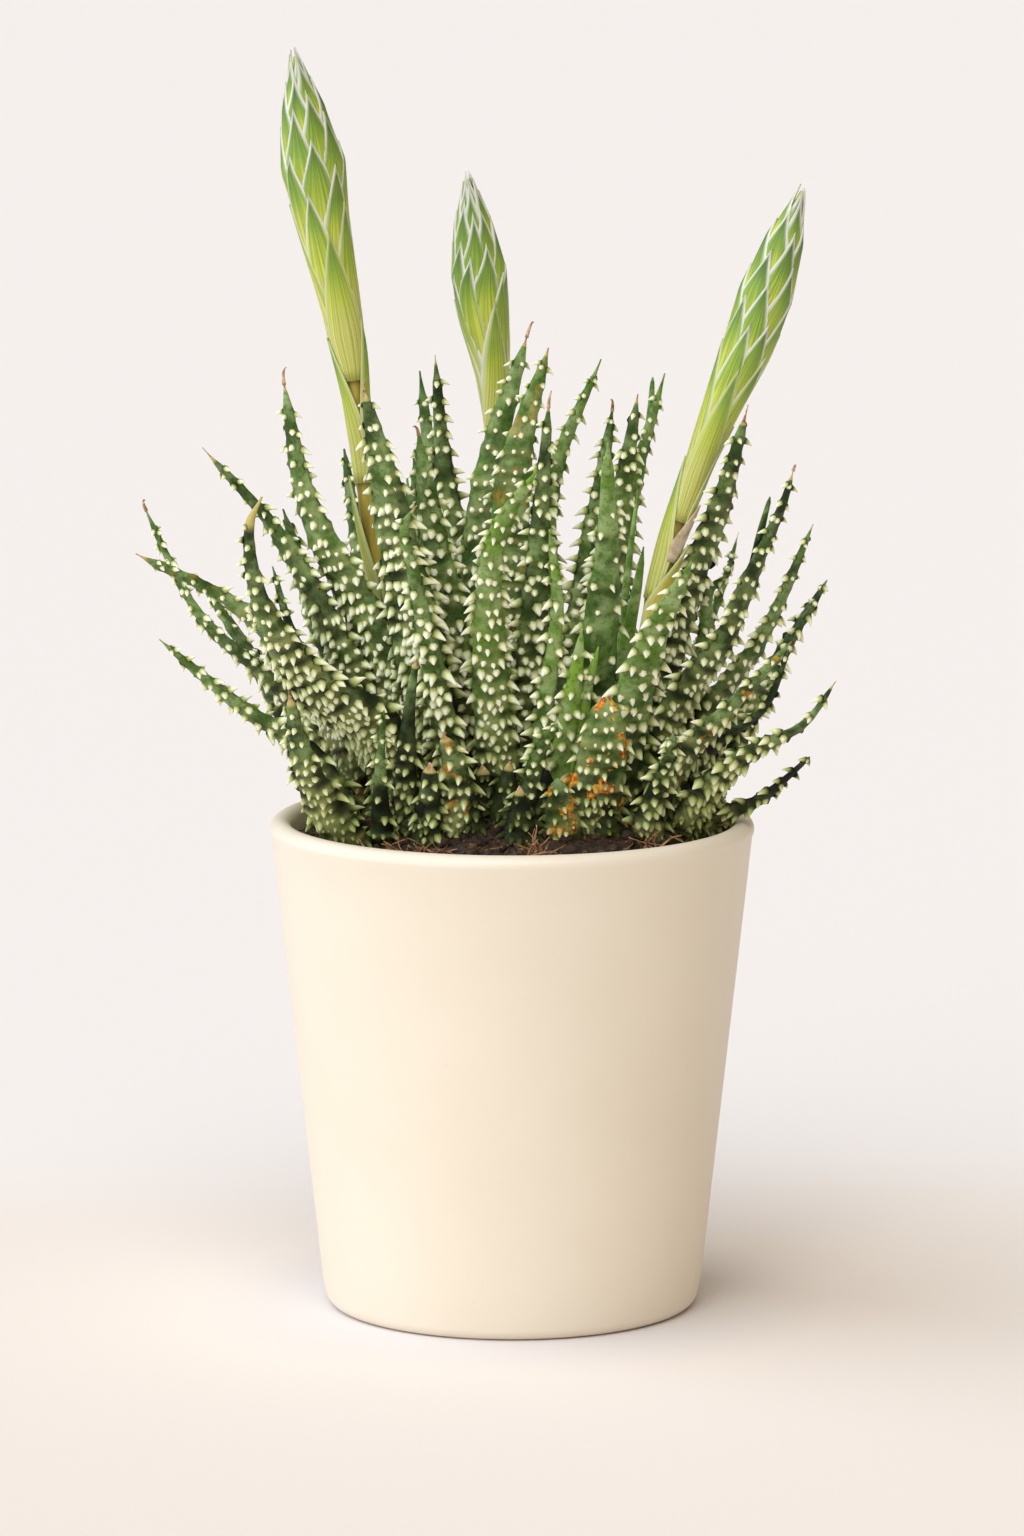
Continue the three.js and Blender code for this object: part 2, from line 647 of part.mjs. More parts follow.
function prepareSpike([name, spike]) {
  const curve = curveThrough(spike.line);
  const length = curve.getLength();
  const radius = spike.stalkRadius;
  const samples = Array.from({ length: SAMPLE_STEPS + 1 }, (_, k) => {
    const place = curve.getPointAt(k / SAMPLE_STEPS);
    const along = curve.getTangentAt(k / SAMPLE_STEPS);
    const across = new THREE.Vector3().crossVectors(along, UP).normalize();
    const face = new THREE.Vector3().crossVectors(along, across);
    const halfStep = length / SAMPLE_STEPS / 2;
    return { place, along, across, face, halfWidth: radius, halfThickness: radius, halfStep };
  });
  return { name, ...spike, curve, length, samples };
}

// The whole plant in its pot
function buildPlant() {
  const group = new THREE.Group();
  const place = (name, solid, finish) => group.add(toMesh(name, solid, finish));
  place("pot", makePot(), COLOURS.pot);
  place("soil", makeSoilPlug(0).subtract(makeCrown(GAP)), COLOURS.soil);
  place("crown", makeCrown(0), COLOURS.crown);

  const spikes = Object.entries(SPIKES).map(prepareSpike);
  const leaves = Object.entries(LEAVES).map(prepareLeaf);
  const blades = leaves.flatMap((leaf) => (leaf.twin ? [leaf, leaf.twin] : [leaf]));
  blades.forEach(addSamples);
  const neighbours = [...blades, ...spikes];

  const cleared = [makeCrown(GAP), makeSoilPlug(GAP)];
  for (const spike of spikes) {
    const stalk = largestBody(makeStalk(spike, 0).subtract(cleared[0]));
    place(`${spike.name}_stalk`, stalk, COLOURS.stalk);
    place(`${spike.name}_bracts`, makeBracts(spike, 0), COLOURS.bracts);
    cleared.push(makeStalk(spike, GAP), makeBracts(spike, GAP));
  }
  for (const leaf of leaves) {
    let body = leafSolid(leaf, neighbours);
    for (const other of cleared) {
      body = body.subtract(other);
    }
    place(leaf.name, largestBody(body.simplify(SIMPLIFY_TOLERANCE)), COLOURS.leaf);
    cleared.push(leafSpace(leaf));
  }
  return group;
}

const plant = buildPlant();
export default plant;
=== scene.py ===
# Potted spider aloe: fine leaves with soft teeth, budding flower spikes, soil and a cream clay pot.
# The lists of leaves and spikes are in millimetres, in the frame's own axes; objects are in metres.
import math
import random
from dataclasses import dataclass

import bpy
import numpy as np
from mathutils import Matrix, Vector, noise


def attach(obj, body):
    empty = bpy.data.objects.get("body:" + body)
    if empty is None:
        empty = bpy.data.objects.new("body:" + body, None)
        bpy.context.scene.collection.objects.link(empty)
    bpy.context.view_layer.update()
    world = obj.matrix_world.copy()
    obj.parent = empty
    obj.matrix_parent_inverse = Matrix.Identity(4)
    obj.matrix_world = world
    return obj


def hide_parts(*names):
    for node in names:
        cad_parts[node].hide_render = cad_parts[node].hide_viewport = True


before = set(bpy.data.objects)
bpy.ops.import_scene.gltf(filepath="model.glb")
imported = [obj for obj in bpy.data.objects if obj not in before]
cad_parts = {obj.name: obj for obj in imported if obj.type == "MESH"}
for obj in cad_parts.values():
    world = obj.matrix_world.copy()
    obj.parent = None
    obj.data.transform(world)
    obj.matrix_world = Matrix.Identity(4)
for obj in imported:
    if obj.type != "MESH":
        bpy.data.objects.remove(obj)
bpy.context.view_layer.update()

MM = 0.001
SEED = 7

# Camera: level with the leaves, looking a little down
CAMERA_PLACE = (0.0, -1.9, 0.439)
CAMERA_PITCH = -9.1
CAMERA_LENS = 182.3
CAMERA_SENSOR = 36

# Light: a bright warm surround and two large soft lights, from the left and from the front.
# softness is how wide a light looks, in degrees.
SURROUND_COLOUR = (1.0, 0.86, 0.69, 1)
SURROUND_STRENGTH = 0.33
LIGHTS = {
    "side": dict(towards=(-0.8, -0.3, 0.5), strength=2.8, softness=102, colour=(0.93, 1.02, 1.2)),
    "front": dict(towards=(0.0, -0.6, 0.8), strength=1.0, softness=35, colour=(1.0, 0.98, 0.95)),
}

# Floor, in metres: half its side, and how far the painted shadow round the pot reaches
FLOOR_HALF_SIDE = 8.0
FLOOR_PAINTED_SHADOW_REACH = 0.04

# Pot, soil and crown
POT_HEIGHT = 122.5
RIM_RADIUS = 60.0
BASE_RADIUS = 46.5
POT_WALL = 5.5
POT_FLOOR = 8.0
BASE_ROUNDING = 3.5
SOIL_EDGE_Z = 117.5
SOIL_MIDDLE_Z = 120.5
SOIL_BOTTOM_Z = 8.4
CROWN_MIDDLE = (2.0, -2.0)
CROWN_HALF_X = 46.0
CROWN_HALF_Y = 30.0
CROWN_BOTTOM_Z = 102.0
CROWN_EDGE_Z = 119.5
CROWN_TOP_Z = 129.0
LEAF_ROOT_Z = 112.0

# Leaf section: its thickness, as a share of the width and some more, and its flatter upper side
THICKNESS_SHARE = 0.36
THICKNESS_EXTRA = 0.8
UPPER_SIDE_SHARE = 0.55

# The upper side looks inward and up. But for the rear leaves, the underside is turned to the front.
INWARD_LIFT = 0.7
TURN_TO_FRONT = 90.0

# Leaf tips draw in from this share of the length on, by this much
TIP_FROM = 0.93
TIP_NARROWING = 0.72

# Fineness of the meshes: points round a ring, the step between a leaf's rings, rings of a tip thread
LEAF_SIDES = 16
LEAF_RING_STEP = 1.35
TOOTH_SIDES = 6
HAIR_STEPS = 14
POT_SIDES = 120
CROWN_SIDES = 96

# How many crumbs and lying root fibres the soil has, and leaf stubs the mound. A tuft of dry roots
# is given by its place and how many roots it has.
CRUMBS = 1100
FIBRES = 160
LEAF_BASES = 44
ROOT_TUFTS = ((-25.0, -36.0, 16), (7.0, -38.0, 18), (34.0, -28.0, 7))

# One tooth, from its sunken foot up: shares of its height, and of its radius there
TOOTH_RISE = np.array([-0.08, 0.25, 0.62, 0.9])
TOOTH_GIRTH = np.array([1.3, 0.98, 0.58, 0.24])

# Rows of teeth: low ones across the face and back, longer ones at the edges. A spacing is given at
# the root, with how much it grows to the tip. The span and reach are shares of half the width.
TEETH_FROM = 0.07
FACE_TOOTH = dict(height=(1.0, 2.2), radius=(0.76, 1.12))
EDGE_TOOTH = dict(height=(1.9, 3.4), radius=(0.8, 1.05))
FACE_TEETH_MISSING = 0.1
EDGE_TEETH_PRESENT = 0.8
TOOTH_JITTER = 0.9
TOOTH_SPACING = (1.9, 1.3)
ROW_SPACING = (2.3, 2.4)
FACE_HALF_SPAN = 0.84
FACE_REACH = 0.86

# Skin: how deep it waves, as a share of half the width, and how it swells round the foot of a
# tooth, less far along the leaf than across it
WAVE_DEPTH = 0.03
TOOTH_SKIRT = 1.8
TOOTH_RIDGE = 1.6
SWELL_HEIGHT = 0.65
# Paleness round a tooth's foot: partly the pale base the teeth really have, partly a painted highlight on
# the swell against darker gaps
SWELL_PALE_AND_LIT = 0.12

# The foot of the clump gets painted shade: full at the first height, none above the second
CLUMP_SHADE_Z = 118.0
CLUMP_SHADE_TOP_Z = 165.0

# Bracts: thin sheets with a pale margin, turned by the golden angle from one to the next. They sit
# a little inside the head's radii, and the filling of the head lies deeper.
BRACT_ROWS = 20
BRACT_COLUMNS = 15
BRACT_THICKNESS = 0.35
BRACT_MARGIN = 1.3
BRACT_SHOULDER = 0.3
BRACT_RIBS = 9
BRACTS_IN_HEAD = 36
BRACT_LENGTH = 42.0
TOP_BRACT_LENGTH = 18.0
HEAD_FILLING_DEPTH = 0.9
BRACT_SEAT = 0.45
GOLDEN_ANGLE = 137.508

# Each leaf: its widths at even steps from root to tip, its middle line, and its looks.
# tone runs from dark olive 0 to fresh green above 1, teeth is the share of the length with teeth and
# spread how far apart these stand, dry and yellow are the lengths of tip that have dried or turned
# yellow, hair the length of the dry thread at the tip, rust the strength of orange flecks. rear
# marks the leaves behind, and a twin is a second leaf grown together with the first. A line that
# starts without a height starts at the leaf roots. What isn't given is as in Leaf.
LEAVES = {
    "leaf_left_upper": dict(widths=[9, 9, 5.5, 3.5, 1.2], tone=0.25, hair=5, line=[
        (-33, 4), (-54, 5, 150), (-77, 6, 172), (-91, 8, 199)]),
    "leaf_left_blunt": dict(widths=[10, 11, 8.5, 5.2, 2.8], dry=2.5, rust=0.2, line=[
        (-31, -3), (-48, -5, 155), (-67, -8, 176), (-92, -14, 190)]),
    "leaf_left_low": dict(widths=[9, 9.5, 6.5, 4.5, 1.2], tone=0.35, line=[
        (-36, -11), (-48, -13, 139), (-67, -15, 153), (-86, -22, 170)]),
    "leaf_left_broad": dict(widths=[11, 14, 17, 18.5, 17, 9.5, 5, 3.2, 1.5], tone=0.1, yellow=8, line=[
        (-22, -9), (-32, -17, 145), (-50, -29, 162),
        (-61, -40, 183), (-63, -45, 201), (-60, -46, 208)]),
    "leaf_left_thorny": dict(widths=[11, 12, 9, 5, 1.5], tone=0.2, dry=4, line=[
        (-36, -16), (-46, -27, 131), (-51, -36, 144), (-54, -44, 161)]),
    "leaf_left_tall": dict(widths=[9, 12, 9.5, 5.2, 1.4], tone=0.15, dry=4, line=[
        (-25, 5), (-41, 3, 162), (-58, 0, 194), (-76, -4, 215)],
        twin=dict(widths=[8, 7, 5, 3, 1.2], tone=0.15, line=[
            (-27, 4), (-43, 2, 148), (-54, 1, 168), (-59, 0, 185)])),
    "leaf_left_peak": dict(widths=[11, 15, 13, 6.5, 1.5], dry=2.5, hair=6, line=[
        (-20, 4), (-33, 2, 165), (-50, -2, 201), (-56, -6, 232)]),
    "leaf_left_rear": dict(widths=[9, 10, 8.5, 6, 1.8], line=[
        (-22, 20), (-30, 24, 155), (-38, 30, 186), (-42, 35, 210)]),
    "leaf_centre_left": dict(widths=[10, 13.5, 13, 9, 2], tone=0.2, dry=3.5, hair=4, line=[
        (-14, -3), (-22, -7, 163), (-30, -14, 204), (-36, -22, 232)]),
    "leaf_inner_left": dict(widths=[8, 9, 8, 5, 1.5], line=[
        (-15, 12), (-19, 12, 155), (-24, 13, 185), (-26, 15, 205)]),
    "leaf_front_hooked": dict(widths=[7, 7, 5.5, 3.5, 1.5], tone=0.35, dry=1.5, line=[
        (-12, -12), (-17, -18, 150), (-24, -30, 188), (-26, -37, 200), (-23, -39, 205)]),
    "leaf_inner_tall": dict(widths=[9, 11.5, 10.5, 7.2, 1.5], hair=5, line=[
        (-7, 3), (-14, 0, 158), (-20, -5, 197), (-23, -10, 220)]),
    "leaf_back_left_tall": dict(widths=[8, 9.5, 8.5, 5, 1.5], tone=0.25, line=[
        (-12, 19), (-16, 24, 160), (-20, 28, 205), (-23, 31, 230)]),
    "leaf_back_left_peak": dict(widths=[9, 11.5, 10, 5.2, 1.2], tone=0.2, dry=1.5, line=[
        (-8, 14), (-12, 17, 165), (-17, 15, 208), (-19, 12, 236)]),
    "leaf_centre_peak": dict(widths=[10, 13, 12.5, 7.5, 1.5], tone=0.35, dry=3.5, hair=7, line=[
        (2, 11), (-6, 10, 165), (-5, 10, 208), (4, 10, 242)]),
    "leaf_front_bright": dict(widths=[9, 9.5, 8, 5.2, 1.8], tone=0.55, line=[
        (0, -7), (-5, -14, 155), (-4, -29, 195), (6, -42, 214)]),
    "leaf_centre_tall": dict(widths=[10, 13, 13, 8, 1.8], tone=0.35, dry=1.5, rust=0.25, line=[
        (6, 6), (-1, 5, 165), (1, 3, 210), (9, 1, 239)]),
    "leaf_centre_dark": dict(widths=[7, 8.5, 7, 4.2, 1.8], tone=0.15, dry=1.5, hair=5, line=[
        (8, 0), (5, -2, 155), (7, -7, 197), (9, -12, 227)]),
    "leaf_back_right_tall": dict(widths=[8, 10, 8, 4.5, 1.2], tone=0.45, line=[
        (11, 13), (7, 13, 165), (10, 12, 205), (22, 12, 235)]),
    "leaf_front_narrow": dict(widths=[5, 5, 4, 3, 1.2], tone=0.55, spread=1.3, line=[
        (6, -14), (8, -20, 150), (11, -32, 180), (9, -45, 200)]),
    "leaf_front_smooth": dict(widths=[10, 11.5, 9.5, 5.5, 1.8], tone=0.4, teeth=0.86, spread=1.9, line=[
        (15, -8), (20, -14, 155), (23, -28, 191), (23, -45, 221)]),
    "leaf_inner_right": dict(widths=[8, 10, 9, 5.5, 1.2], tone=0.35, hair=5, line=[
        (13, 3), (15, 1, 155), (20, 14, 190), (25, 16, 223)]),
    "leaf_right_straight": dict(widths=[10, 12, 11, 6.2, 1.6], tone=0.25, dry=1.5, line=[
        (21, 8), (23, 8, 165), (27, 6, 201), (31, 6, 227)]),
    "leaf_back_right_split": dict(widths=[8, 9, 7, 4.5, 1.4], tone=0.35, line=[
        (22, 18), (24, 20, 163), (31, 23, 205), (38, 26, 230)],
        twin=dict(widths=[2.8, 2.2, 1], tone=0.35, teeth=0, line=[
            (31, 23, 206), (34, 25, 217), (35, 26, 229)])),
    "leaf_inner_thin": dict(widths=[6, 6, 5, 3.2, 1.2], tone=0.5, teeth=0, line=[
        (20, -1), (26, -5, 155), (30, -14, 178), (32, -24, 193)],
        twin=dict(widths=[4, 4, 3, 2, 1], tone=0.5, teeth=0, line=[
            (21, -1), (25, -3, 148), (28, -2, 180), (31, 0, 204)])),
    "leaf_right_peak": dict(widths=[9, 12, 10.5, 6.5, 1.8], tone=0.15, dry=5, line=[
        (31, 8), (37, 8, 158), (52, 4, 202), (58, 0, 225)]),
    "leaf_right_smooth": dict(widths=[8.5, 11.5, 10, 6.5, 1.8], tone=0.5, spread=1.4, line=[
        (25, -9), (29, -20, 153), (36, -36, 176), (43, -52, 193)]),
    "leaf_back_right_low": dict(widths=[7, 8, 6, 3.5, 1.5], tone=0.4, line=[
        (28, 19), (37, 25, 150), (45, 35, 172), (49, 46, 186)]),
    "leaf_back_right_edge": dict(widths=[7, 8, 5.5, 3, 1.2], dry=2.5, line=[
        (35, 13), (44, 21, 152), (52, 31, 174), (57, 42, 188)],
        twin=dict(widths=[6, 7, 6.5, 5, 2], line=[
            (36, 12), (43, 14, 142), (48, 14, 165), (49, 14, 177), (53, 13, 181)])),
    "leaf_right_long": dict(widths=[9, 10, 8, 4.3, 1.2], tone=0.15, dry=3.5, hair=3, line=[
        (32, -2), (40, -4, 150), (52, -8, 168), (58, -11, 183), (66, -14, 202), (69, -16, 212)],
        twin=dict(widths=[2.8, 2.2, 1], tone=0.15, teeth=0, line=[
            (59, -12, 187), (61, -12, 196), (63, -14, 204)])),
    "leaf_right_outer": dict(widths=[9, 10, 7, 4, 1.2], tone=0.2, dry=1, line=[
        (38, 5), (44, 4, 141), (62, 1, 168), (74, -4, 196)]),
    "leaf_right_broad": dict(widths=[9, 9.5, 7, 4, 1.2], tone=0.25, rust=0.5, line=[
        (36, -8), (38, -12, 134), (52, -17, 151), (68, -26, 170)]),
    "leaf_right_dark": dict(widths=[6, 6, 3.5, 2.4, 1], tone=0.05, line=[
        (42, 1), (49, 0, 139), (62, -3, 150), (68, -6, 165)]),
    "leaf_right_low": dict(widths=[9, 9.5, 6.5, 3, 1.2], tone=0.25, dry=1.5, line=[
        (38, -13), (46, -15, 130), (59, -18, 142), (71, -22, 149), (79, -24, 160)]),
    "leaf_right_rim": dict(widths=[7, 7, 4.5, 2.8, 1.2], tone=0.1, line=[
        (43, -6), (50, -8, 123), (61, -12, 129), (73, -16, 140)]),
    "leaf_front_toothed": dict(widths=[9, 8, 5, 3, 1.2], line=[
        (31, -18), (34, -24, 129), (38, -33, 142), (39, -42, 150)]),
    "leaf_young_pair": dict(widths=[6, 7, 6, 4, 1.2], tone=1.3, spread=1.4, line=[
        (9, -14), (12, -17, 138), (15, -24, 158), (17, -31, 174)],
        twin=dict(widths=[5, 5, 4, 3, 1.2], tone=1.3, spread=1.5, line=[
            (11, -14), (16, -17, 138), (18, -22, 156), (21, -28, 169)])),
    "leaf_stub_flecked": dict(widths=[12, 15, 14, 11, 5], tone=0.35, rust=1.0, line=[
        (17, -20), (19, -22, 128), (22, -26, 143), (23, -30, 157)]),
    "leaf_front_bent": dict(widths=[6, 6, 5, 3.5, 1.4], tone=0.4, line=[
        (3, -20), (4, -23, 130), (7, -28, 144), (11, -34, 151)]),
    "leaf_front_blade": dict(widths=[6, 5.5, 3.5, 2, 1], tone=0.45, spread=1.7, line=[
        (-31, -20), (-32, -25, 127), (-32, -31, 141), (-31, -38, 155)]),
    "leaf_front_brown": dict(widths=[6.5, 6, 4.5, 2.8, 1.2], tone=0.1, teeth=0.6, dry=3, line=[
        (-26, -16), (-26, -21, 135), (-25, -28, 154), (-23, -36, 168)]),
    "leaf_stub_broken": dict(widths=[7, 6.5, 5.5, 4.5, 4], tone=0.2, dry=2, line=[
        (-20, -24), (-20, -26, 122), (-20, -28, 131), (-20, -31, 141)]),
    "leaf_stub_dry": dict(widths=[10, 9.5, 8.5, 6, 2.5], dry=2.5, rust=0.6, line=[
        (-13, -21), (-14, -24, 127), (-14, -29, 140), (-17, -34, 149)]),
    "leaf_stub_front": dict(widths=[11, 10, 8, 6, 3], tone=0.35, rust=0.8, line=[
        (12, -23), (13, -25, 120), (12, -28, 128), (11, -31, 137)]),
    "leaf_rear_left": dict(widths=[9, 12, 11, 6.5, 1.5], tone=0.2, rear=True, line=[
        (-28, 15), (-39, 30, 146), (-50, 44, 170), (-58, 57, 192)]),
    "leaf_rear_centre_left": dict(widths=[9, 12, 11, 6.5, 1.5], rear=True, line=[
        (-13, 25), (-18, 40, 150), (-22, 54, 180), (-25, 66, 204)]),
    "leaf_rear_centre": dict(widths=[10, 13, 11, 6.5, 1.5], tone=0.15, dry=2.5, hair=4, rear=True, line=[
        (3, 24), (2, 42, 148), (0, 58, 175), (-3, 71, 197)]),
    "leaf_rear_centre_right": dict(widths=[9, 12, 11, 6.5, 1.5], rear=True, line=[
        (16, 24), (21, 40, 150), (26, 54, 178), (30, 66, 202)]),
    "leaf_rear_left_edge": dict(widths=[9, 11, 9, 5.5, 1.5], tone=0.25, dry=1.5, rear=True, line=[
        (-37, 8), (-52, 18, 138), (-66, 28, 160), (-79, 36, 178)]),
    "leaf_rear_right_edge": dict(widths=[9, 11, 9, 5.5, 1.5], tone=0.2, rear=True, line=[
        (41, 9), (54, 17, 137), (67, 26, 159), (79, 34, 177)]),
    "leaf_rear_low": dict(widths=[9, 11, 9, 5.5, 1.5], dry=1.5, rear=True, line=[
        (-4, 26), (-6, 46, 132), (-8, 64, 148), (-9, 80, 162)]),
}

# Each spike: middle line from root to tip, where the bracts start, and the head's radii from there up.
# head_from is where the budding head starts. A sheath is a lone bract lower down the stalk: where its
# foot is, its length, the way it faces (0 front, 90 right) and how far that turns on the way up, how far
# it reaches round the stalk, how dry it is, and how far its foot and tip stand off.
SPIKES = {
    "spike_left": dict(
        line=[(-18, 10, 112), (-33, 9, 182), (-40, 8, 237), (-47, 7, 273), (-53.6, 5, 312)],
        stalk_radius=2.4, bracts_from=0.5, radii=[3.4, 3.9, 5.2, 6, 7, 8.3, 5.6, 0.8],
        head_from=0.592, joints=[0.466, 0.592],
        sheaths=[
            dict(foot=0.466, length=37, way=-45, twist=-30, reach=1.6),
            dict(foot=0.47, length=40, way=80, twist=-20, reach=1.3),
            dict(foot=0.53, length=32, way=-110, reach=0.9),
            dict(foot=0.3, length=36, way=-60, twist=-10, reach=1.0, lift=(0, 1.6)),
            dict(foot=0.3, length=27, way=60, twist=20, reach=1.2, dry=0.1, lift=(0, 1)),
        ]),
    "spike_centre": dict(
        line=[(-2, 19, 112), (-4, 20, 190), (-4, 22, 220), (-8, 22, 254), (-11, 20, 280.5)],
        stalk_radius=2.2, bracts_from=0.55, radii=[3.2, 3.9, 4.7, 6.5, 7.5, 5, 0.8],
        head_from=0.555, joints=[0.45],
        sheaths=[
            dict(foot=0.44, length=32, way=15, twist=-10, reach=1.5),
            dict(foot=0.4, length=34, way=-120, reach=1.2),
            dict(foot=0.45, length=34, way=130, reach=1.2),
        ]),
    "spike_right": dict(
        line=[(27, -3, 112), (36, 0, 180), (45, 6, 207), (60, 14, 243), (72, 20, 277.5)],
        stalk_radius=2.6, bracts_from=0.42, radii=[3.5, 3.8, 4.2, 5.3, 6.7, 7.2, 5.2, 0.8],
        head_from=0.488, joints=[0.374, 0.488],
        sheaths=[
            dict(foot=0.374, length=36, way=-60, twist=-20, reach=1.5),
            dict(foot=0.43, length=16, way=55, twist=10, reach=0.95, dry=1.0, lift=(0.2, 1.2)),
            dict(foot=0.325, length=24, way=0, twist=70, reach=1.2, dry=0.3, lift=(0.2, 1.6)),
            dict(foot=0.45, length=34, way=95, reach=0.9),
        ]),
}


# Shared helpers

def rgb(red, green, blue):
    """A colour given on the 0 to 255 screen scale, as linear light."""
    def linear(value):
        value /= 255
        return value / 12.92 if value <= 0.04045 else ((value + 0.055) / 1.055) ** 2.4
    return (linear(red), linear(green), linear(blue), 1.0)


def smoothstep(low, high, value):
    t = np.clip((value - low) / (high - low), 0, 1)
    return t * t * (3 - 2 * t)


def unit(vectors):
    return vectors / np.linalg.norm(vectors, axis=-1, keepdims=True)


def ring_angles(sides):
    """The angles of the points of a ring."""
    return 2 * math.pi * np.arange(sides) / sides


def spokes(first, second, sides):
    """Rings of directions, each ring from two directions at right angles."""
    turn = ring_angles(sides)[:, None]
    return first[:, None] * np.cos(turn) + second[:, None] * np.sin(turn)


def pairs(first, second):
    """Every value of the first with every value of the second, as two equally long lists."""
    return (values.ravel() for values in np.meshgrid(first, second, indexing="ij"))


class Shape:
    """Gathers the points and faces of one piece, with the values that its material reads."""

    def __init__(self, *fields):
        self.fields = fields
        self.points = []
        self.faces = []
        self.values = {field: [] for field in fields}
        self.count = 0

    def add(self, points, faces, **values):
        points = np.asarray(points, float).reshape(-1, 3)
        self.points.append(points)
        self.faces.extend((np.asarray(block) + self.count).tolist() for block in faces if len(block))
        for field in self.fields:
            value = np.broadcast_to(np.asarray(values.get(field, 0.0), float).reshape(-1), (len(points),))
            self.values[field].append(value)
        self.count += len(points)

    def add_tube(self, rings, foot, head, **values):
        """Rings of points, joined into a tube that closes to a point at each end."""
        rings = np.asarray(rings, float)
        points = np.vstack([rings.reshape(-1, 3), foot, head])
        self.add(points, tube_faces(*rings.shape[:2]), **values)

    def mesh(self, name):
        mesh = bpy.data.meshes.new(name)
        faces = [face for block in self.faces for face in block]
        mesh.from_pydata((np.vstack(self.points) * MM).tolist(), [], faces)
        for field in self.fields:
            layer = mesh.attributes.new(field, "FLOAT", "POINT")
            layer.data.foreach_set("value", np.concatenate(self.values[field]).astype(np.float32))
        mesh.shade_smooth()
        mesh.update()
        return mesh


def add_object(name, data):
    item = bpy.data.objects.new(name, data)
    bpy.context.scene.collection.objects.link(item)
    return item


def place_piece(name, shape, node, material):
    piece = add_object(name, shape.mesh(node))
    piece.data.materials.append(material)
    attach(piece, "root")
    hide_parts(node)


def tube_faces(rings, sides):
    """Quads between rings of points, then a fan to one point at each end; the two points come last."""
    ring, side = pairs(np.arange(rings - 1), np.arange(sides))
    after = (side + 1) % sides
    quads = np.stack([ring * sides + side, ring * sides + after,
                      (ring + 1) * sides + after, (ring + 1) * sides + side], 1)
    side = np.arange(sides)
    after = (side + 1) % sides
    foot = np.stack([after, side, np.full(sides, rings * sides)], 1)
    last = (rings - 1) * sides
    head = np.stack([last + side, last + after, np.full(sides, rings * sides + 1)], 1)
    return [quads, foot, head]


def sheet_faces(rows, columns):
    """Faces of a thin closed sheet: an outer grid of points, an inner one, and the band around them."""
    row, column = pairs(np.arange(rows - 1), np.arange(columns - 1))
    corner = row * columns + column
    quad = np.stack([corner, corner + 1, corner + columns + 1, corner + columns], 1)
    size = rows * columns
    foot = np.arange(columns)
    right = np.arange(2, rows + 1) * columns - 1
    top = np.arange(size - 2, size - columns - 1, -1)
    left = np.arange(rows - 2, 0, -1) * columns
    edge = np.concatenate([foot, right, top, left])
    after = np.roll(edge, -1)
    band = np.stack([edge, edge + size, after + size, after], 1)
    return [quad, quad[:, ::-1] + size, band]


class Track:
    """A smooth line through a few points, read by the share of its length."""

    def __init__(self, line, per_span=40):
        points = np.array(line, float)
        points = np.vstack([2 * points[0] - points[1], points, 2 * points[-1] - points[-2]])
        dense = [self.span(points[k - 1:k + 3], per_span) for k in range(1, len(points) - 2)]
        self.dense = np.vstack(dense + [points[-2:-1]])
        steps = np.linalg.norm(np.diff(self.dense, axis=0), axis=1)
        travelled = np.concatenate([[0], np.cumsum(steps)])
        self.length = travelled[-1]
        self.shares = travelled / self.length
        self.headings = unit(np.gradient(self.dense, travelled, axis=0))

    @staticmethod
    def span(points, count):
        p0, p1, p2, p3 = points
        d0, d1, d2 = (np.linalg.norm(b - a) ** 0.5 for a, b in ((p0, p1), (p1, p2), (p2, p3)))
        m1 = ((p1 - p0) / d0 - (p2 - p0) / (d0 + d1) + (p2 - p1) / d1) * d1
        m2 = ((p2 - p1) / d1 - (p3 - p1) / (d1 + d2) + (p3 - p2) / d2) * d1
        t = np.linspace(0, 1, count, endpoint=False)[:, None]
        return ((2 * t**3 - 3 * t**2 + 1) * p1 + (t**3 - 2 * t**2 + t) * m1
                + (3 * t**2 - 2 * t**3) * p2 + (t**3 - t**2) * m2)

    def read(self, table, share):
        return np.stack([np.interp(share, self.shares, table[:, k]) for k in range(3)], -1)

    def at(self, share):
        """The place at a share of the length; past the end the line runs straight on."""
        over = np.maximum(np.asarray(share, float) - 1, 0)[..., None] * self.length
        return self.read(self.dense, share) + over * self.headings[-1]

    def heading(self, share):
        return unit(self.read(self.headings, share))


# Colours; a ramp is a row of places from 0 to 1, each with its colour

SKIN = ((0.0, rgb(10, 15, 4)), (0.3, rgb(32, 46, 15)), (0.65, rgb(86, 122, 46)), (1.0, rgb(132, 172, 62)))
BLOOM = rgb(160, 184, 120)
SKIN_SPECK = rgb(26, 36, 14)
TOOTH_CREAM = ((0.0, rgb(66, 76, 28)), (0.22, rgb(172, 182, 108)), (0.46, rgb(238, 242, 194)),
               (0.9, rgb(255, 255, 234)))
RUST = ((0.38, rgb(150, 70, 18)), (0.5, rgb(222, 138, 30)), (0.64, rgb(242, 206, 90)))
YELLOWED_TIP = rgb(190, 176, 104)
DRIED_TIP = ((0.3, rgb(116, 82, 54)), (0.5, rgb(180, 142, 102)), (0.7, rgb(222, 196, 160)))
CROWN_PEAT = ((0.35, rgb(30, 22, 16)), (0.6, rgb(72, 54, 38)))

BRACT_GREEN = ((0.08, rgb(224, 222, 116)), (0.32, rgb(204, 216, 74)), (0.55, rgb(148, 180, 58)),
               (0.86, rgb(66, 108, 40)))
BRACT_RIB = rgb(76, 112, 40)
BRACT_YELLOWED = ((0.4, rgb(204, 196, 84)), (0.62, rgb(216, 158, 52)))
BRACT_PAPER = ((0.35, rgb(196, 170, 128)), (0.65, rgb(232, 220, 196)))
SHEATH_RIM = rgb(214, 222, 150)
BRACT_RIM = rgb(244, 247, 226)

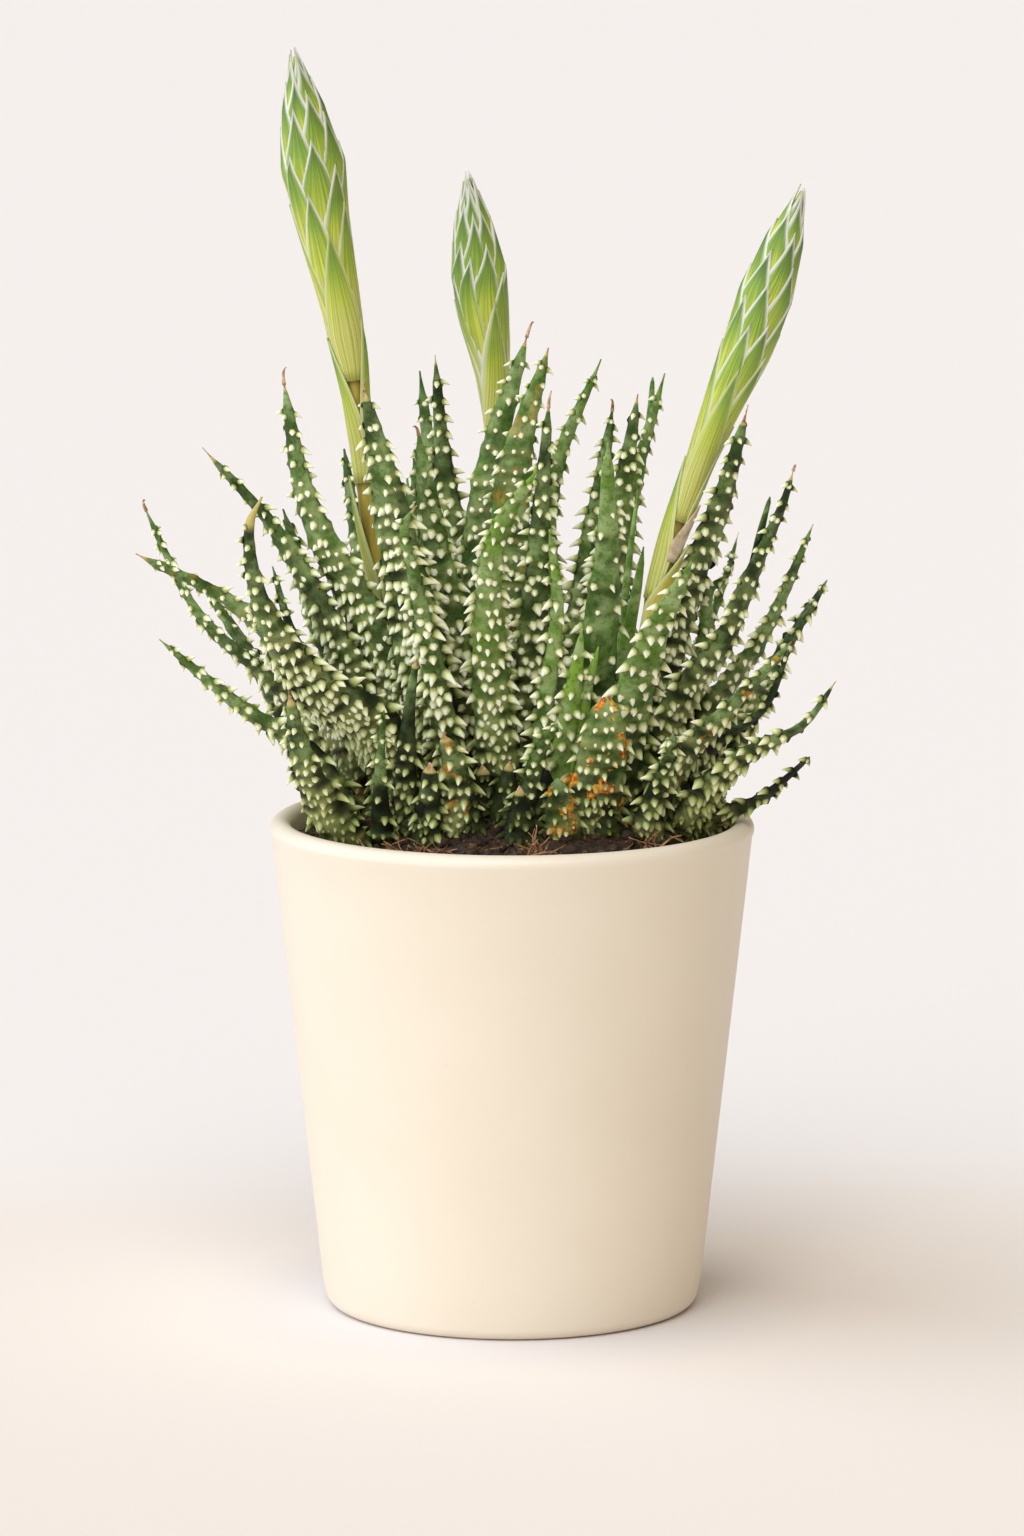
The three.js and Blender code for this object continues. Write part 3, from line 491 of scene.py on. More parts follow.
STALK_GOLD = ((0.3, rgb(140, 122, 44)), (0.5, rgb(178, 158, 62)), (0.7, rgb(200, 186, 92)))
STALK_JOINT = rgb(98, 84, 32)

POT_CREAM = ((0.3, rgb(235, 223, 201)), (0.7, rgb(239, 227, 206)))
POT_SPECK = rgb(206, 190, 168)

PEAT = ((0.3, rgb(28, 19, 13)), (0.5, rgb(62, 44, 31)), (0.7, rgb(112, 84, 60)))
ROOT_FIBRE = ((0.3, rgb(124, 70, 36)), (0.7, rgb(196, 156, 112)))

FLOOR_NEAR = rgb(242, 233, 223)
FLOOR_FAR = rgb(245, 240, 235)
FLOOR_PAINTED_SHADOW = rgb(208, 209, 216)


# Node trees

class Material:
    """A node tree with short calls; every value may be a number, a colour or another node's socket."""

    def __init__(self, name):
        self.material = bpy.data.materials.new(name)
        self.material.use_nodes = True
        self.tree = self.material.node_tree
        self.shader = self.tree.nodes["Principled BSDF"]
        self.coordinates = self.tree.nodes.new("ShaderNodeTexCoord").outputs["Object"]

    def put(self, socket, value):
        if isinstance(value, bpy.types.NodeSocket):
            self.tree.links.new(value, socket)
        else:
            socket.default_value = value

    def set(self, name, value):
        self.put(self.shader.inputs[name], value)

    def node(self, kind, **inputs):
        """A node with its inputs set; an underscore in a name stands for a space."""
        node = self.tree.nodes.new(f"ShaderNode{kind}")
        for name, value in inputs.items():
            self.put(node.inputs[name.replace("_", " ")], value)
        return node

    def attribute(self, name):
        node = self.node("Attribute")
        node.attribute_name = name
        return node.outputs["Fac"]

    def noise(self, size_mm, detail=3.0, roughness=0.5, stretch=None):
        vector = self.coordinates
        if stretch:
            vector = self.node("Mapping", Vector=vector, Scale=stretch).outputs["Vector"]
        scale = 1 / (size_mm * MM)
        node = self.node("TexNoise", Vector=vector, Scale=scale, Detail=detail, Roughness=roughness)
        return node.outputs["Fac"]

    def streaks(self, across, count, shift, spread):
        """Uneven stripes side by side, different wherever shift differs."""
        x = self.math("MULTIPLY", across, count)
        vector = self.node("CombineXYZ", X=x, Y=self.math("MULTIPLY", shift, spread))
        return self.node("TexNoise", Vector=vector.outputs["Vector"], Scale=1, Detail=3).outputs["Fac"]

    def math(self, operation, a, b=0.0, c=0.0):
        node = self.node("Math")
        node.operation = operation
        for socket, value in zip(node.inputs, (a, b, c)):
            self.put(socket, value)
        return node.outputs[0]

    def fade(self, value, low, high):
        """0 below low, 1 above high, smooth between."""
        node = self.node("MapRange", Value=value, From_Min=low, From_Max=high)
        node.interpolation_type = "SMOOTHSTEP"
        return node.outputs["Result"]

    def ramp(self, value, *stops):
        node = self.node("ValToRGB", Fac=value)
        elements = node.color_ramp.elements
        while len(elements) < len(stops):
            elements.new(0.5)
        for element, (place, colour) in zip(elements, stops):
            element.position = place
            element.color = colour
        return node.outputs["Color"]

    def mix(self, share, a, b):
        node = self.node("Mix")
        node.data_type = "RGBA"
        for socket, value in zip((node.inputs[0], node.inputs[6], node.inputs[7]), (share, a, b)):
            self.put(socket, value)
        return node.outputs[2]

    def bump(self, height, depth_mm, strength=1.0, under=None):
        node = self.node("Bump", Strength=strength, Distance=depth_mm * MM, Height=height)
        if under is not None:
            self.put(node.inputs["Normal"], under)
        return node.outputs["Normal"]


def leaf_material(name, darker=0.0):
    """Mottled skin, cream teeth, and tips that turn yellow and then brown; darker gives old leaf bases."""
    m = Material(name)
    tooth = m.attribute("tooth")
    dry = m.attribute("dry")
    speck = m.noise(1.3, 4, 0.6)
    mottle = m.math("MULTIPLY_ADD", m.noise(11, 3), 0.9, -0.45 - darker)
    shade = m.math("ADD", m.attribute("tone"), mottle)
    bloom = m.math("MULTIPLY", m.fade(m.noise(6, 4, 0.6), 0.4, 0.66), m.fade(shade, 0.0, 0.8))
    skin = m.mix(bloom, m.ramp(shade, *SKIN), BLOOM)
    skin = m.mix(m.math("MULTIPLY", m.fade(speck, 0.5, 0.68), 0.45), skin, SKIN_SPECK)
    pale = m.math("ADD", tooth, m.math("MULTIPLY_ADD", m.noise(6, 2), 0.3, -0.15 - darker))
    colour = m.mix(m.fade(tooth, 0.0, 0.2), skin, m.ramp(pale, *TOOTH_CREAM))
    rust = m.math("MULTIPLY", m.attribute("rust"), m.fade(m.noise(4, 3), 0.57, 0.61))
    colour = m.mix(rust, colour, m.ramp(speck, *RUST))
    colour = m.mix(m.fade(dry, 0.05, 0.4), colour, YELLOWED_TIP)
    colour = m.mix(m.fade(dry, 0.5, 0.8), colour, m.ramp(m.noise(1.2, 3), *DRIED_TIP))
    colour = m.mix(m.attribute("earth"), colour, m.ramp(speck, *CROWN_PEAT))
    m.set("Base Color", colour)
    m.set("Roughness", m.math("MULTIPLY_ADD", speck, 0.25, 0.45))
    m.set("Specular IOR Level", 0.22)
    m.set("Subsurface Weight", 0.1)
    m.set("Subsurface Radius", (0.003, 0.004, 0.002))
    m.set("Subsurface Scale", 0.4)
    fine = m.bump(speck, 0.25, 0.5)
    m.set("Normal", m.bump(m.noise(4, 2, 0.5, (1, 1, 0.3)), 0.7, 0.5, fine))
    return m.material


def bract_material():
    """Yellow at the foot and green at the tip, greener higher up the head, ribbed, with a pale rim."""
    m = Material("bract")
    rim = m.attribute("rim")
    height = m.attribute("height")
    ribs = m.fade(m.streaks(m.attribute("across"), BRACT_RIBS, height, 40), 0.35, 0.65)
    dry = m.attribute("dry")
    wander = m.noise(9, 2)
    ripe = m.math("ADD", m.attribute("along"), m.math("MULTIPLY_ADD", wander, 0.3, -0.15))
    ripe = m.math("ADD", ripe, m.math("MULTIPLY_ADD", height, 0.4, -0.26))
    green = m.mix(m.math("MULTIPLY", ribs, 0.5), m.ramp(ripe, *BRACT_GREEN), BRACT_RIB)
    green = m.mix(m.fade(dry, 0.15, 0.5), green, m.ramp(wander, *BRACT_YELLOWED))
    margin = m.mix(m.fade(height, 0.0, 0.2), SHEATH_RIM, BRACT_RIM)
    colour = m.mix(m.math("MULTIPLY", rim, 0.9), green, margin)
    colour = m.mix(m.fade(dry, 0.6, 0.95), colour, m.ramp(m.noise(3, 4), *BRACT_PAPER))
    m.set("Base Color", colour)
    m.set("Roughness", m.math("MULTIPLY_ADD", wander, 0.2, 0.42))
    m.set("Subsurface Weight", 0.12)
    m.set("Subsurface Radius", (0.003, 0.004, 0.001))
    m.set("Subsurface Scale", 0.4)
    m.set("Normal", m.bump(ribs, 0.14, 0.7))
    return m.material


def stalk_material():
    m = Material("stalk")
    streak = m.noise(3, 3, 0.5, (1, 1, 0.12))
    m.set("Base Color", m.mix(m.attribute("joint"), m.ramp(streak, *STALK_GOLD), STALK_JOINT))
    m.set("Roughness", m.math("MULTIPLY_ADD", streak, 0.2, 0.38))
    m.set("Normal", m.bump(streak, 0.3, 0.4))
    return m.material


def pot_material():
    m = Material("pot_clay")
    grain = m.noise(1.4, 5, 0.65)
    specks = m.math("MULTIPLY", m.fade(m.noise(2.2, 2), 0.7, 0.78), 0.1)
    m.set("Base Color", m.mix(specks, m.ramp(m.noise(38, 3), *POT_CREAM), POT_SPECK))
    m.set("Roughness", m.math("MULTIPLY_ADD", grain, 0.16, 0.36))
    m.set("Specular IOR Level", 0.7)
    ripple = m.bump(m.noise(16, 2, 0.5, (0.25, 0.25, 1)), 0.3, 0.25)
    m.set("Normal", m.bump(grain, 0.1, 0.25, ripple))
    return m.material


def soil_material():
    m = Material("peat")
    lump = m.noise(3.5, 5, 0.65)
    fibre = m.ramp(m.noise(2, 2), *ROOT_FIBRE)
    m.set("Base Color", m.mix(m.attribute("fibre"), m.ramp(lump, *PEAT), fibre))
    m.set("Roughness", m.math("MULTIPLY_ADD", lump, 0.2, 0.78))
    m.set("Normal", m.bump(m.noise(0.9, 5, 0.7), 0.6, 0.8))
    return m.material


def floor_material():
    """A pale floor, warmer in front of the pot and cooler behind it, with a painted shadow round its base.
    """
    m = Material("floor")
    separate = m.node("SeparateXYZ", Vector=m.coordinates)
    far = m.fade(separate.outputs["Y"], 0.06, 0.2)
    squares = [m.math("POWER", separate.outputs[axis], 2.0) for axis in "XY"]
    distance = m.math("SQRT", m.math("ADD", *squares))
    edge = BASE_RADIUS * MM
    # Painted shadow: the floor is greyed round the pot's base, fading out with the distance
    under = m.math("SUBTRACT", 1.0, m.fade(distance, edge, edge + FLOOR_PAINTED_SHADOW_REACH))
    colour = m.mix(far, FLOOR_NEAR, FLOOR_FAR)
    m.set("Base Color", m.mix(m.math("MULTIPLY", under, 0.4), colour, FLOOR_PAINTED_SHADOW))
    m.set("Roughness", 0.9)
    m.set("Specular IOR Level", 0.1)
    return m.material


# Leaves

@dataclass
class Leaf:
    """One leaf's middle line and sizes, with the frames of its skin."""

    widths: list
    line: list
    tone: float = 0.3
    teeth: float = 0.965
    spread: float = 1.0
    dry: float = 0.0
    yellow: float = 0.0
    hair: float = 0.0
    rust: float = 0.0
    rear: bool = False
    twin: dict = None

    def __post_init__(self):
        root = (*self.line[0], LEAF_ROOT_Z)[:3]
        self.track = Track([root, *self.line[1:]])
        forward = 0 if self.rear else TURN_TO_FRONT
        outward = np.array(self.line[-1][:2], float) - CROWN_MIDDLE - (0, forward)
        self.inward = np.append(-outward / np.linalg.norm(outward), INWARD_LIFT)

    def width_at(self, share):
        """The width there, evened out over a short way."""
        knots = np.linspace(0, 1, len(self.widths))
        around = [np.clip(share + step, 0, 1) for step in (-0.08, -0.04, 0, 0.04, 0.08)]
        return np.mean([np.interp(place, knots, self.widths) for place in around], axis=0)

    def dryness(self, share, length, blend):
        """1 over the given length at the tip, 0 below it."""
        to_tip = (1 - np.asarray(share)) * self.track.length
        return (1 - smoothstep(length - blend, length + blend, to_tip)) * (length > 0)

    def tip_colour(self, share):
        return np.maximum(self.dryness(share, self.dry, 0.7), 0.5 * self.dryness(share, self.yellow, 3.0))

    def frames(self, share):
        share = np.asarray(share, float)
        place = self.track.at(share)
        along = self.track.heading(share)
        face = unit(self.inward - along * (along @ self.inward)[..., None])
        across = np.cross(face, along)
        end = 1 - TIP_NARROWING * smoothstep(TIP_FROM, 1.0, share)
        end = end * (1 - 0.5 * self.dryness(share, self.dry, 1.0))
        half = self.width_at(share) / 2 * end
        thick = (half * 2 * THICKNESS_SHARE + THICKNESS_EXTRA * end) / 2
        return place, along, across, face, half, thick

    def skin(self, share, angle):
        """Points on the skin and the directions out of it, for equally long lists of share and angle."""
        place, along, across, face, half, thick = self.frames(share)
        cos, sin = np.cos(angle), np.sin(angle)
        rise = np.where(sin > 0, UPPER_SIDE_SHARE * sin * (1 - 0.4 * sin * sin), sin)
        points = place + across * (half * cos)[..., None] + face * (thick * rise)[..., None]
        steepness = np.where(sin > 0, 1.6, 1) * sin / thick
        out = unit(across * (cos / half)[..., None] + face * steepness[..., None])
        return points, out, along


def tooth_size(leaf, share):
    """Small at the root, largest a third of the way up, and smaller on a narrow leaf."""
    along = 0.85 + 0.66 * smoothstep(0, 0.35, share) - 0.6 * share
    return along * min(1.0, 0.7 + float(leaf.width_at(share)) / 24)


def face_teeth(leaf, share, size, shift, rng):
    """One row of teeth across the back of the leaf and one across its face."""
    width = float(leaf.width_at(share))
    spacing = (TOOTH_SPACING[0] + TOOTH_SPACING[1] * share) * leaf.spread
    for side, reach in ((-1, 1.2), (1, 0.8)):
        count = max(1, round(width * reach / spacing))
        for k in range(count):
            x = 2 * FACE_HALF_SPAN * (k + 0.5 + shift + rng.uniform(-0.2, 0.2)) / count - FACE_HALF_SPAN
            height = size * rng.uniform(*FACE_TOOTH["height"])
            radius = size * rng.uniform(*FACE_TOOTH["radius"])
            place = share + rng.uniform(-TOOTH_JITTER, TOOTH_JITTER) / leaf.track.length
            if rng.random() > FACE_TEETH_MISSING:
                yield place, side * math.acos(max(-FACE_REACH, min(FACE_REACH, x))), height, radius


def edge_teeth(leaf, share, size, rng):
    """One tooth at each edge of the leaf."""
    for edge, way in ((0.0, 1), (math.pi, -1)):
        angle = edge + rng.uniform(-0.35, 0.2) * way
        place = share + rng.uniform(-TOOTH_JITTER, TOOTH_JITTER) / leaf.track.length
        if rng.random() < EDGE_TEETH_PRESENT:
            height = size * rng.uniform(*EDGE_TOOTH["height"])
            yield place, angle, height, size * rng.uniform(*EDGE_TOOTH["radius"])


def tooth_places(leaf, rng):
    """Staggered rows, closer together towards the root: share, angle, height and radius of each tooth."""
    places = []
    share = TEETH_FROM
    shift = -0.25
    boldness = rng.uniform(0.88, 1.12)
    while share < leaf.teeth:
        size = boldness * tooth_size(leaf, share)
        places.extend(face_teeth(leaf, share, size, shift, rng))
        places.extend(edge_teeth(leaf, share, size, rng))
        shift = -shift
        step = (ROW_SPACING[0] + ROW_SPACING[1] * share) * leaf.spread
        share += step * rng.uniform(0.88, 1.12) / leaf.track.length
    places = np.array(places).reshape(-1, 4)
    return places[leaf.tip_colour(places[:, 0]) < 0.25]


def clump_foot_shade(z):
    """Painted shade at the foot of the clump: 1 at the soil, 0 above it."""
    return 1 - smoothstep(CLUMP_SHADE_Z, CLUMP_SHADE_TOP_Z, z)


def swelling(leaf, share, points, along, places):
    """How much the skin rises at each point, from the teeth that stand near it."""
    feet = leaf.skin(places[:, 0].clip(0.01, 0.98), places[:, 1])[0]
    apart = points[:, None] - feet[None]
    lengthwise = np.einsum("nkc,nc->nk", apart, along)
    squared = (apart**2).sum(2) + TOOTH_RIDGE * lengthwise**2
    swell = np.minimum(np.exp(-squared / TOOTH_SKIRT**2).sum(1), 1.3)
    return swell * smoothstep(0, 9, leaf.width_at(share))


def add_leaf_skin(shape, leaf, rng, places):
    """The skin waves a little and swells round the foot of each tooth. There it pales, partly for the
    tooth's own pale base and partly as painted light, and it gets painted shade towards the root and the
    soil.
    """
    rings = max(10, round(leaf.track.length / LEAF_RING_STEP))
    share, angle = pairs(np.linspace(0, 1, rings), ring_angles(LEAF_SIDES))
    points, out, along = leaf.skin(share, angle)
    phases = [rng.uniform(0, 2 * math.pi) for _ in range(3)]
    length = share * leaf.track.length
    wave = (np.sin(length / 2.9 + phases[0] + 2 * angle) + np.sin(3 * angle + phases[1])
            + np.sin(length / 5.3 + phases[2]))
    half = leaf.frames(share)[4]
    swell = swelling(leaf, share, points, along, places)
    points = points + out * (wave * WAVE_DEPTH * half + SWELL_HEIGHT * swell)[:, None]
    points = np.vstack([points, leaf.track.at(np.array([0.0, 1.0]))])
    share = np.append(share, [0, 1])
    # Painted shade: the skin is darker towards the leaf root, and darker still near the soil where the
    # clump shades itself
    tone = leaf.tone + 0.26 - 0.4 * (1 - smoothstep(0.0, 0.8, share)) - 0.35 * clump_foot_shade(points[:, 2])
    shape.add(points, tube_faces(rings, LEAF_SIDES), tone=tone, rust=leaf.rust,
              tooth=SWELL_PALE_AND_LIT * np.append(swell, [0, 0]), dry=leaf.tip_colour(share))


def add_teeth(shape, leaf, rng, places):
    """Small cones on the skin, each with its own lean, that droop a little towards the root; painted shade
    dims them low down.
    """
    share, angle, height, radius = places.T
    base, out, along = leaf.skin(share.clip(0.01, 0.98), angle)
    jitter = np.array([[rng.uniform(-0.22, 0.22), rng.uniform(-0.1, 0.3)] for _ in places])
    out = unit(out + unit(np.cross(out, along)) * jitter[:, :1] - along * jitter[:, 1:])
    first = unit(np.cross(out, along))
    second = np.cross(out, first)
    spoke = spokes(first, second, TOOTH_SIDES)[:, None]
    rise = TOOTH_RISE[None, :, None]
    droop = -along * (height * [rng.uniform(0.15, 0.55) for _ in places])[:, None]
    centre = base[:, None] + out[:, None] * (height[:, None, None] * rise) + droop[:, None] * rise**2
    rings = centre[:, :, None, :] + spoke * (radius[:, None] * TOOTH_GIRTH)[:, :, None, None]
    root = base - out * (height * 0.1)[:, None]
    tip = base + out * height[:, None] + droop
    faces = tube_faces(len(TOOTH_RISE), TOOTH_SIDES)
    pale = np.concatenate([np.repeat(TOOTH_RISE.clip(0, 1), TOOTH_SIDES), [0, 1]])
    # Painted shade: teeth are dimmer towards the leaf root and near the soil; on dark-toned leaves they
    # are also less pale
    bright = (0.5 + 0.5 * smoothstep(0.06, 0.45, share)) * (1 - 0.6 * clump_foot_shade(base[:, 2]))
    bright = bright * (0.7 + 0.3 * smoothstep(0.0, 0.3, leaf.tone))
    dry = 0.8 * leaf.tip_colour(share)
    for k in range(len(places)):
        points = np.vstack([rings[k].reshape(-1, 3), root[k], tip[k]])
        shape.add(points, faces, tooth=pale * bright[k], tone=leaf.tone, rust=0.6 * leaf.rust, dry=dry[k])


def add_thread(shape, centres, radii, sides, **values):
    """A thin round thread along a list of points."""
    headings = unit(np.gradient(centres, axis=0))
    side = unit(np.cross(headings, [0.31, 0.83, 0.47]))
    other = np.cross(headings, side)
    rings = centres[:, None] + np.asarray(radii)[:, None, None] * spokes(other, side, sides)
    shape.add_tube(rings, centres[0], centres[-1], **values)


def add_hair(shape, leaf, rng):
    """The dry thread that the tip ends in, curling over."""
    heading = leaf.track.heading(1.0)
    bend_axis = unit(np.cross(heading, [rng.uniform(-0.4, 0.4), 1.0, rng.uniform(-0.3, 0.3)]))
    curl = rng.choice([-1, 1]) * rng.uniform(1.2, 2.4)
    centres = [leaf.track.at(1.0) - heading * 1.5]
    for k in range(1, HAIR_STEPS):
        angle = curl * (k / HAIR_STEPS) ** 1.5
        direction = heading * math.cos(angle) + np.cross(bend_axis, heading) * math.sin(angle)
        centres.append(centres[-1] + direction * leaf.hair / HAIR_STEPS)
    radii = np.linspace(0.5, 0.14, HAIR_STEPS)
    add_thread(shape, np.array(centres), radii, 6, dry=1.0, tone=leaf.tone)


def add_leaf(shape, leaf, rng):
    places = tooth_places(leaf, rng)
    add_leaf_skin(shape, leaf, rng, places)
    if len(places):
        add_teeth(shape, leaf, rng, places)
    if leaf.hair:
        add_hair(shape, leaf, rng)
    if leaf.twin:
        add_leaf(shape, Leaf(**leaf.twin), rng)


def make_leaf(name, looks, material, index):
    shape = Shape("tone", "tooth", "dry", "rust")
    add_leaf(shape, Leaf(**looks), random.Random(SEED * 1000 + index))
    place_piece(f"{name}_fine", shape, name, material)


# Flower spikes

def spike_frames(track, share):
    along = track.heading(share)
    side = unit(np.cross(along, [0.0, 0.0, 1.0]))
    return track.at(share), along, side, np.cross(along, side)


def facing(track, share, degrees):
    """The turn about the stalk that faces a way given in degrees: 0 to the front, 90 to the right."""
    _, _, side, face = spike_frames(track, share)
    way = np.array([math.sin(math.radians(degrees)), -math.cos(math.radians(degrees)), 0])
    return math.atan2(way @ face, way @ side)


def add_round(shape, track, shares, radii, sides, **values):
    place, _, side, face = spike_frames(track, shares)
    rings = place[:, None] + spokes(side, face, sides) * np.asarray(radii)[:, None, None]
    shape.add_tube(rings, place[0], place[-1], **values)


def make_stalk(name, spike, material):
    """A bare stalk that waves a little and thickens at its joints."""
    track = Track(spike["line"])
    shape = Shape("joint")
    sides = 20
    shares = np.linspace(0, spike["head_from"] + 0.06, 90)
    radii = spike["stalk_radius"] * (1 + 0.03 * np.sin(shares * track.length / 6))
    joints = np.zeros(len(shares))
    for place in spike["joints"]:
        ring = np.exp(-((shares - place) * track.length / 0.9) ** 2)
        joints += ring
        radii = radii + 0.25 * ring
    add_round(shape, track, shares, radii, sides, joint=np.append(np.repeat(joints, sides), [0, 0]))
    place_piece(f"{name}_stalk_fine", shape, f"{name}_stalk", material)


def add_bract(shape, track, radius_at, foot, length, way, reach, twist=0.0, lift=(0.0, 0.3),
              dry=0.0, height=0.0):
    """One bract that hugs the stalk or head: broad below, drawn out to a point, with a pale margin."""
    v = np.linspace(0, 1, BRACT_ROWS) ** 0.85
    u = np.sin(np.linspace(-1, 1, BRACT_COLUMNS) * math.pi / 2)
    share = foot + v * length / track.length
    place, _, side, face = spike_frames(track, share)
    radius = np.maximum(radius_at(np.minimum(share, 1)), 0.5) + lift[0] + (lift[1] - lift[0]) * v
    swell = np.sin((v / BRACT_SHOULDER).clip(0, 1) * math.pi / 2)
    taper = (1 - ((v - BRACT_SHOULDER) / (1 - BRACT_SHOULDER)).clip(0, 1)) ** 1.1
    outline = (0.8 + 0.2 * swell) * taper
    half = np.minimum(reach * outline, math.pi * 0.95)
    start = facing(track, foot, way)
    swing = (facing(track, foot, way + twist) - start + math.pi) % (2 * math.pi) - math.pi
    angle = start + swing * v[:, None] + half[:, None] * u
    spoke = side[:, None] * np.cos(angle)[..., None] + face[:, None] * np.sin(angle)[..., None]
    outer = place[:, None] + spoke * (radius[:, None] * (1 - 0.04 * u**2))[..., None]
    inner = outer - spoke * BRACT_THICKNESS
    margin = BRACT_MARGIN * min(1.0, reach) * (1.9 - 1.4 * v)
    to_edge = (1 - np.abs(u)) * (half * radius)[:, None] / margin[:, None]
    rim = 1 - smoothstep(0.2, 0.95, to_edge)
    points = np.vstack([outer.reshape(-1, 3), inner.reshape(-1, 3)])
    shape.add(points, sheet_faces(BRACT_ROWS, BRACT_COLUMNS), height=height, dry=dry,
              along=np.tile(np.repeat(v, BRACT_COLUMNS), 2), rim=np.tile(rim.ravel(), 2),
              across=np.tile(u, 2 * BRACT_ROWS))


def make_head(name, spike, material, index):
    """Bracts in a spiral over a slim filling, shorter and narrower towards the top, and the sheaths."""
    rng = random.Random(SEED * 100 + index)
    track = Track(spike["line"])
    knots = np.linspace(spike["bracts_from"], 1, len(spike["radii"]))

    def radius_at(share):
        return np.interp(share, knots, spike["radii"]) - BRACT_SEAT

    shape = Shape("along", "across", "rim", "height", "dry")
    start = spike["head_from"]
    shares = np.linspace(start, 0.99, 40)
    filling = np.maximum(radius_at(shares) - HEAD_FILLING_DEPTH, 0.3)
    add_round(shape, track, shares, filling, 18, along=0.4, height=0.5)
    for k in range(BRACTS_IN_HEAD):
        climb = k / (BRACTS_IN_HEAD - 1)
        foot = start + (1 - start) * (0.88 * climb**0.9)
        length = BRACT_LENGTH + (TOP_BRACT_LENGTH - BRACT_LENGTH) * climb
        length = min(length, (1 - foot) * track.length + 0.4)
        way = 10 + k * GOLDEN_ANGLE + rng.uniform(-9, 9)
        add_bract(shape, track, radius_at, foot, length * rng.uniform(0.88, 1.0), way,
                  reach=1.3 - 0.35 * climb, twist=rng.uniform(-10, 10), lift=(-0.4, 0.45), height=climb)
    for sheath in spike["sheaths"]:
        add_bract(shape, track, radius_at, **sheath)
    place_piece(f"{name}_bracts_fine", shape, f"{name}_bracts", material)


# Pot, soil and crown

def inner_radius(z):
    return BASE_RADIUS + (RIM_RADIUS - BASE_RADIUS) * z / POT_HEIGHT - POT_WALL


def arc(x, z, radius, start, end, steps):
    angles = np.radians(np.linspace(start, end, steps))
    return np.stack([x + radius * np.cos(angles), z + radius * np.sin(angles)], 1)


def make_pot(material):
    """A turned profile: up the outside, over the round lip, down the inside and in to the floor."""
    lip = POT_WALL / 2
    lip_z = POT_HEIGHT - lip - 2
    wall = [(inner_radius(z) + POT_WALL, z) for z in np.linspace(6, lip_z, 12)]
    inside = [(inner_radius(z), z) for z in np.linspace(lip_z, POT_FLOOR + 3, 8)]
    profile = np.vstack([
        arc(BASE_RADIUS - BASE_ROUNDING, BASE_ROUNDING, BASE_ROUNDING, -90, -6, 10),
        wall,
        arc(RIM_RADIUS - lip, POT_HEIGHT - lip, lip, -6, 174, 18),
        inside,
        arc(inner_radius(POT_FLOOR) - 3, POT_FLOOR + 3, 3, 0, -90, 6),
    ])
    turn = ring_angles(POT_SIDES)
    rings = np.stack([profile[:, 0, None] * np.cos(turn), profile[:, 0, None] * np.sin(turn),
                      np.repeat(profile[:, 1, None], POT_SIDES, 1)], -1)
    shape = Shape()
    shape.add_tube(rings, (0, 0, 0), (0, 0, POT_FLOOR))
    place_piece("pot_clay", shape, "pot", material)


def soil_height(x, y):
    radius = math.hypot(x, y)
    base = SOIL_MIDDLE_Z + (SOIL_EDGE_Z - SOIL_MIDDLE_Z) * radius / inner_radius(SOIL_EDGE_Z)
    broad = noise.noise(Vector((x / 7, y / 7, 3.0))) * 1.1
    fine = noise.noise(Vector((x / 2.3, y / 2.3, 9.0))) * 0.7
    return base + broad + fine


def mound_height(x, y):
    """The crown's height over a place, and 0 beside it."""
    reach = math.hypot((x - CROWN_MIDDLE[0]) / CROWN_HALF_X, (y - CROWN_MIDDLE[1]) / CROWN_HALF_Y)
    if reach >= 1:
        return 0.0
    return CROWN_EDGE_Z + (CROWN_TOP_Z - CROWN_EDGE_Z) * (1 - reach * reach)


def add_lump(shape, place, size, rng, fibre):
    """A small uneven crumb, sunk a little where it lies."""
    rings, sides = 3, 6
    stretch = [rng.uniform(0.7, 1.3) for _ in range(3)]
    points = []
    for r in range(rings):
        tilt = math.pi * (r + 0.8) / (rings + 0.6)
        for s in range(sides):
            angle = 2 * math.pi * (s + 0.5 * r) / sides
            radius = size * rng.uniform(0.75, 1.15)
            points.append((place[0] + radius * stretch[0] * math.sin(tilt) * math.cos(angle),
                           place[1] + radius * stretch[1] * math.sin(tilt) * math.sin(angle),
                           place[2] - radius * stretch[2] * 0.8 * math.cos(tilt)))
    points.append((place[0], place[1], place[2] - size * 0.9))
    points.append((place[0], place[1], place[2] + size * 0.8))
    shape.add(points, tube_faces(rings, sides), fibre=fibre)


def add_fibre(shape, start, heading, length, radius, rng):
    """A thin root that wanders from its start."""
    steps = 10
    centres = [np.array(start, float)]
    direction = unit(np.array(heading, float))
    for _ in range(steps - 1):
        bend = [rng.uniform(-0.35, 0.35), rng.uniform(-0.35, 0.35), rng.uniform(-0.2, 0.15)]
        direction = unit(direction + np.array(bend))
        centres.append(centres[-1] + direction * length / steps)
    add_thread(shape, np.array(centres), radius * np.linspace(1, 0.5, steps), 5, fibre=1.0)


def soil_place(rng, near, far):
    """A seeded place on the soil, between two shares of the way out to the pot's wall."""
    angle = rng.uniform(0, 2 * math.pi)
    radius = inner_radius(SOIL_EDGE_Z) * math.sqrt(rng.uniform(near, far))
    x, y = radius * math.cos(angle), radius * math.sin(angle)
    return x, y, max(soil_height(x, y), mound_height(x, y))


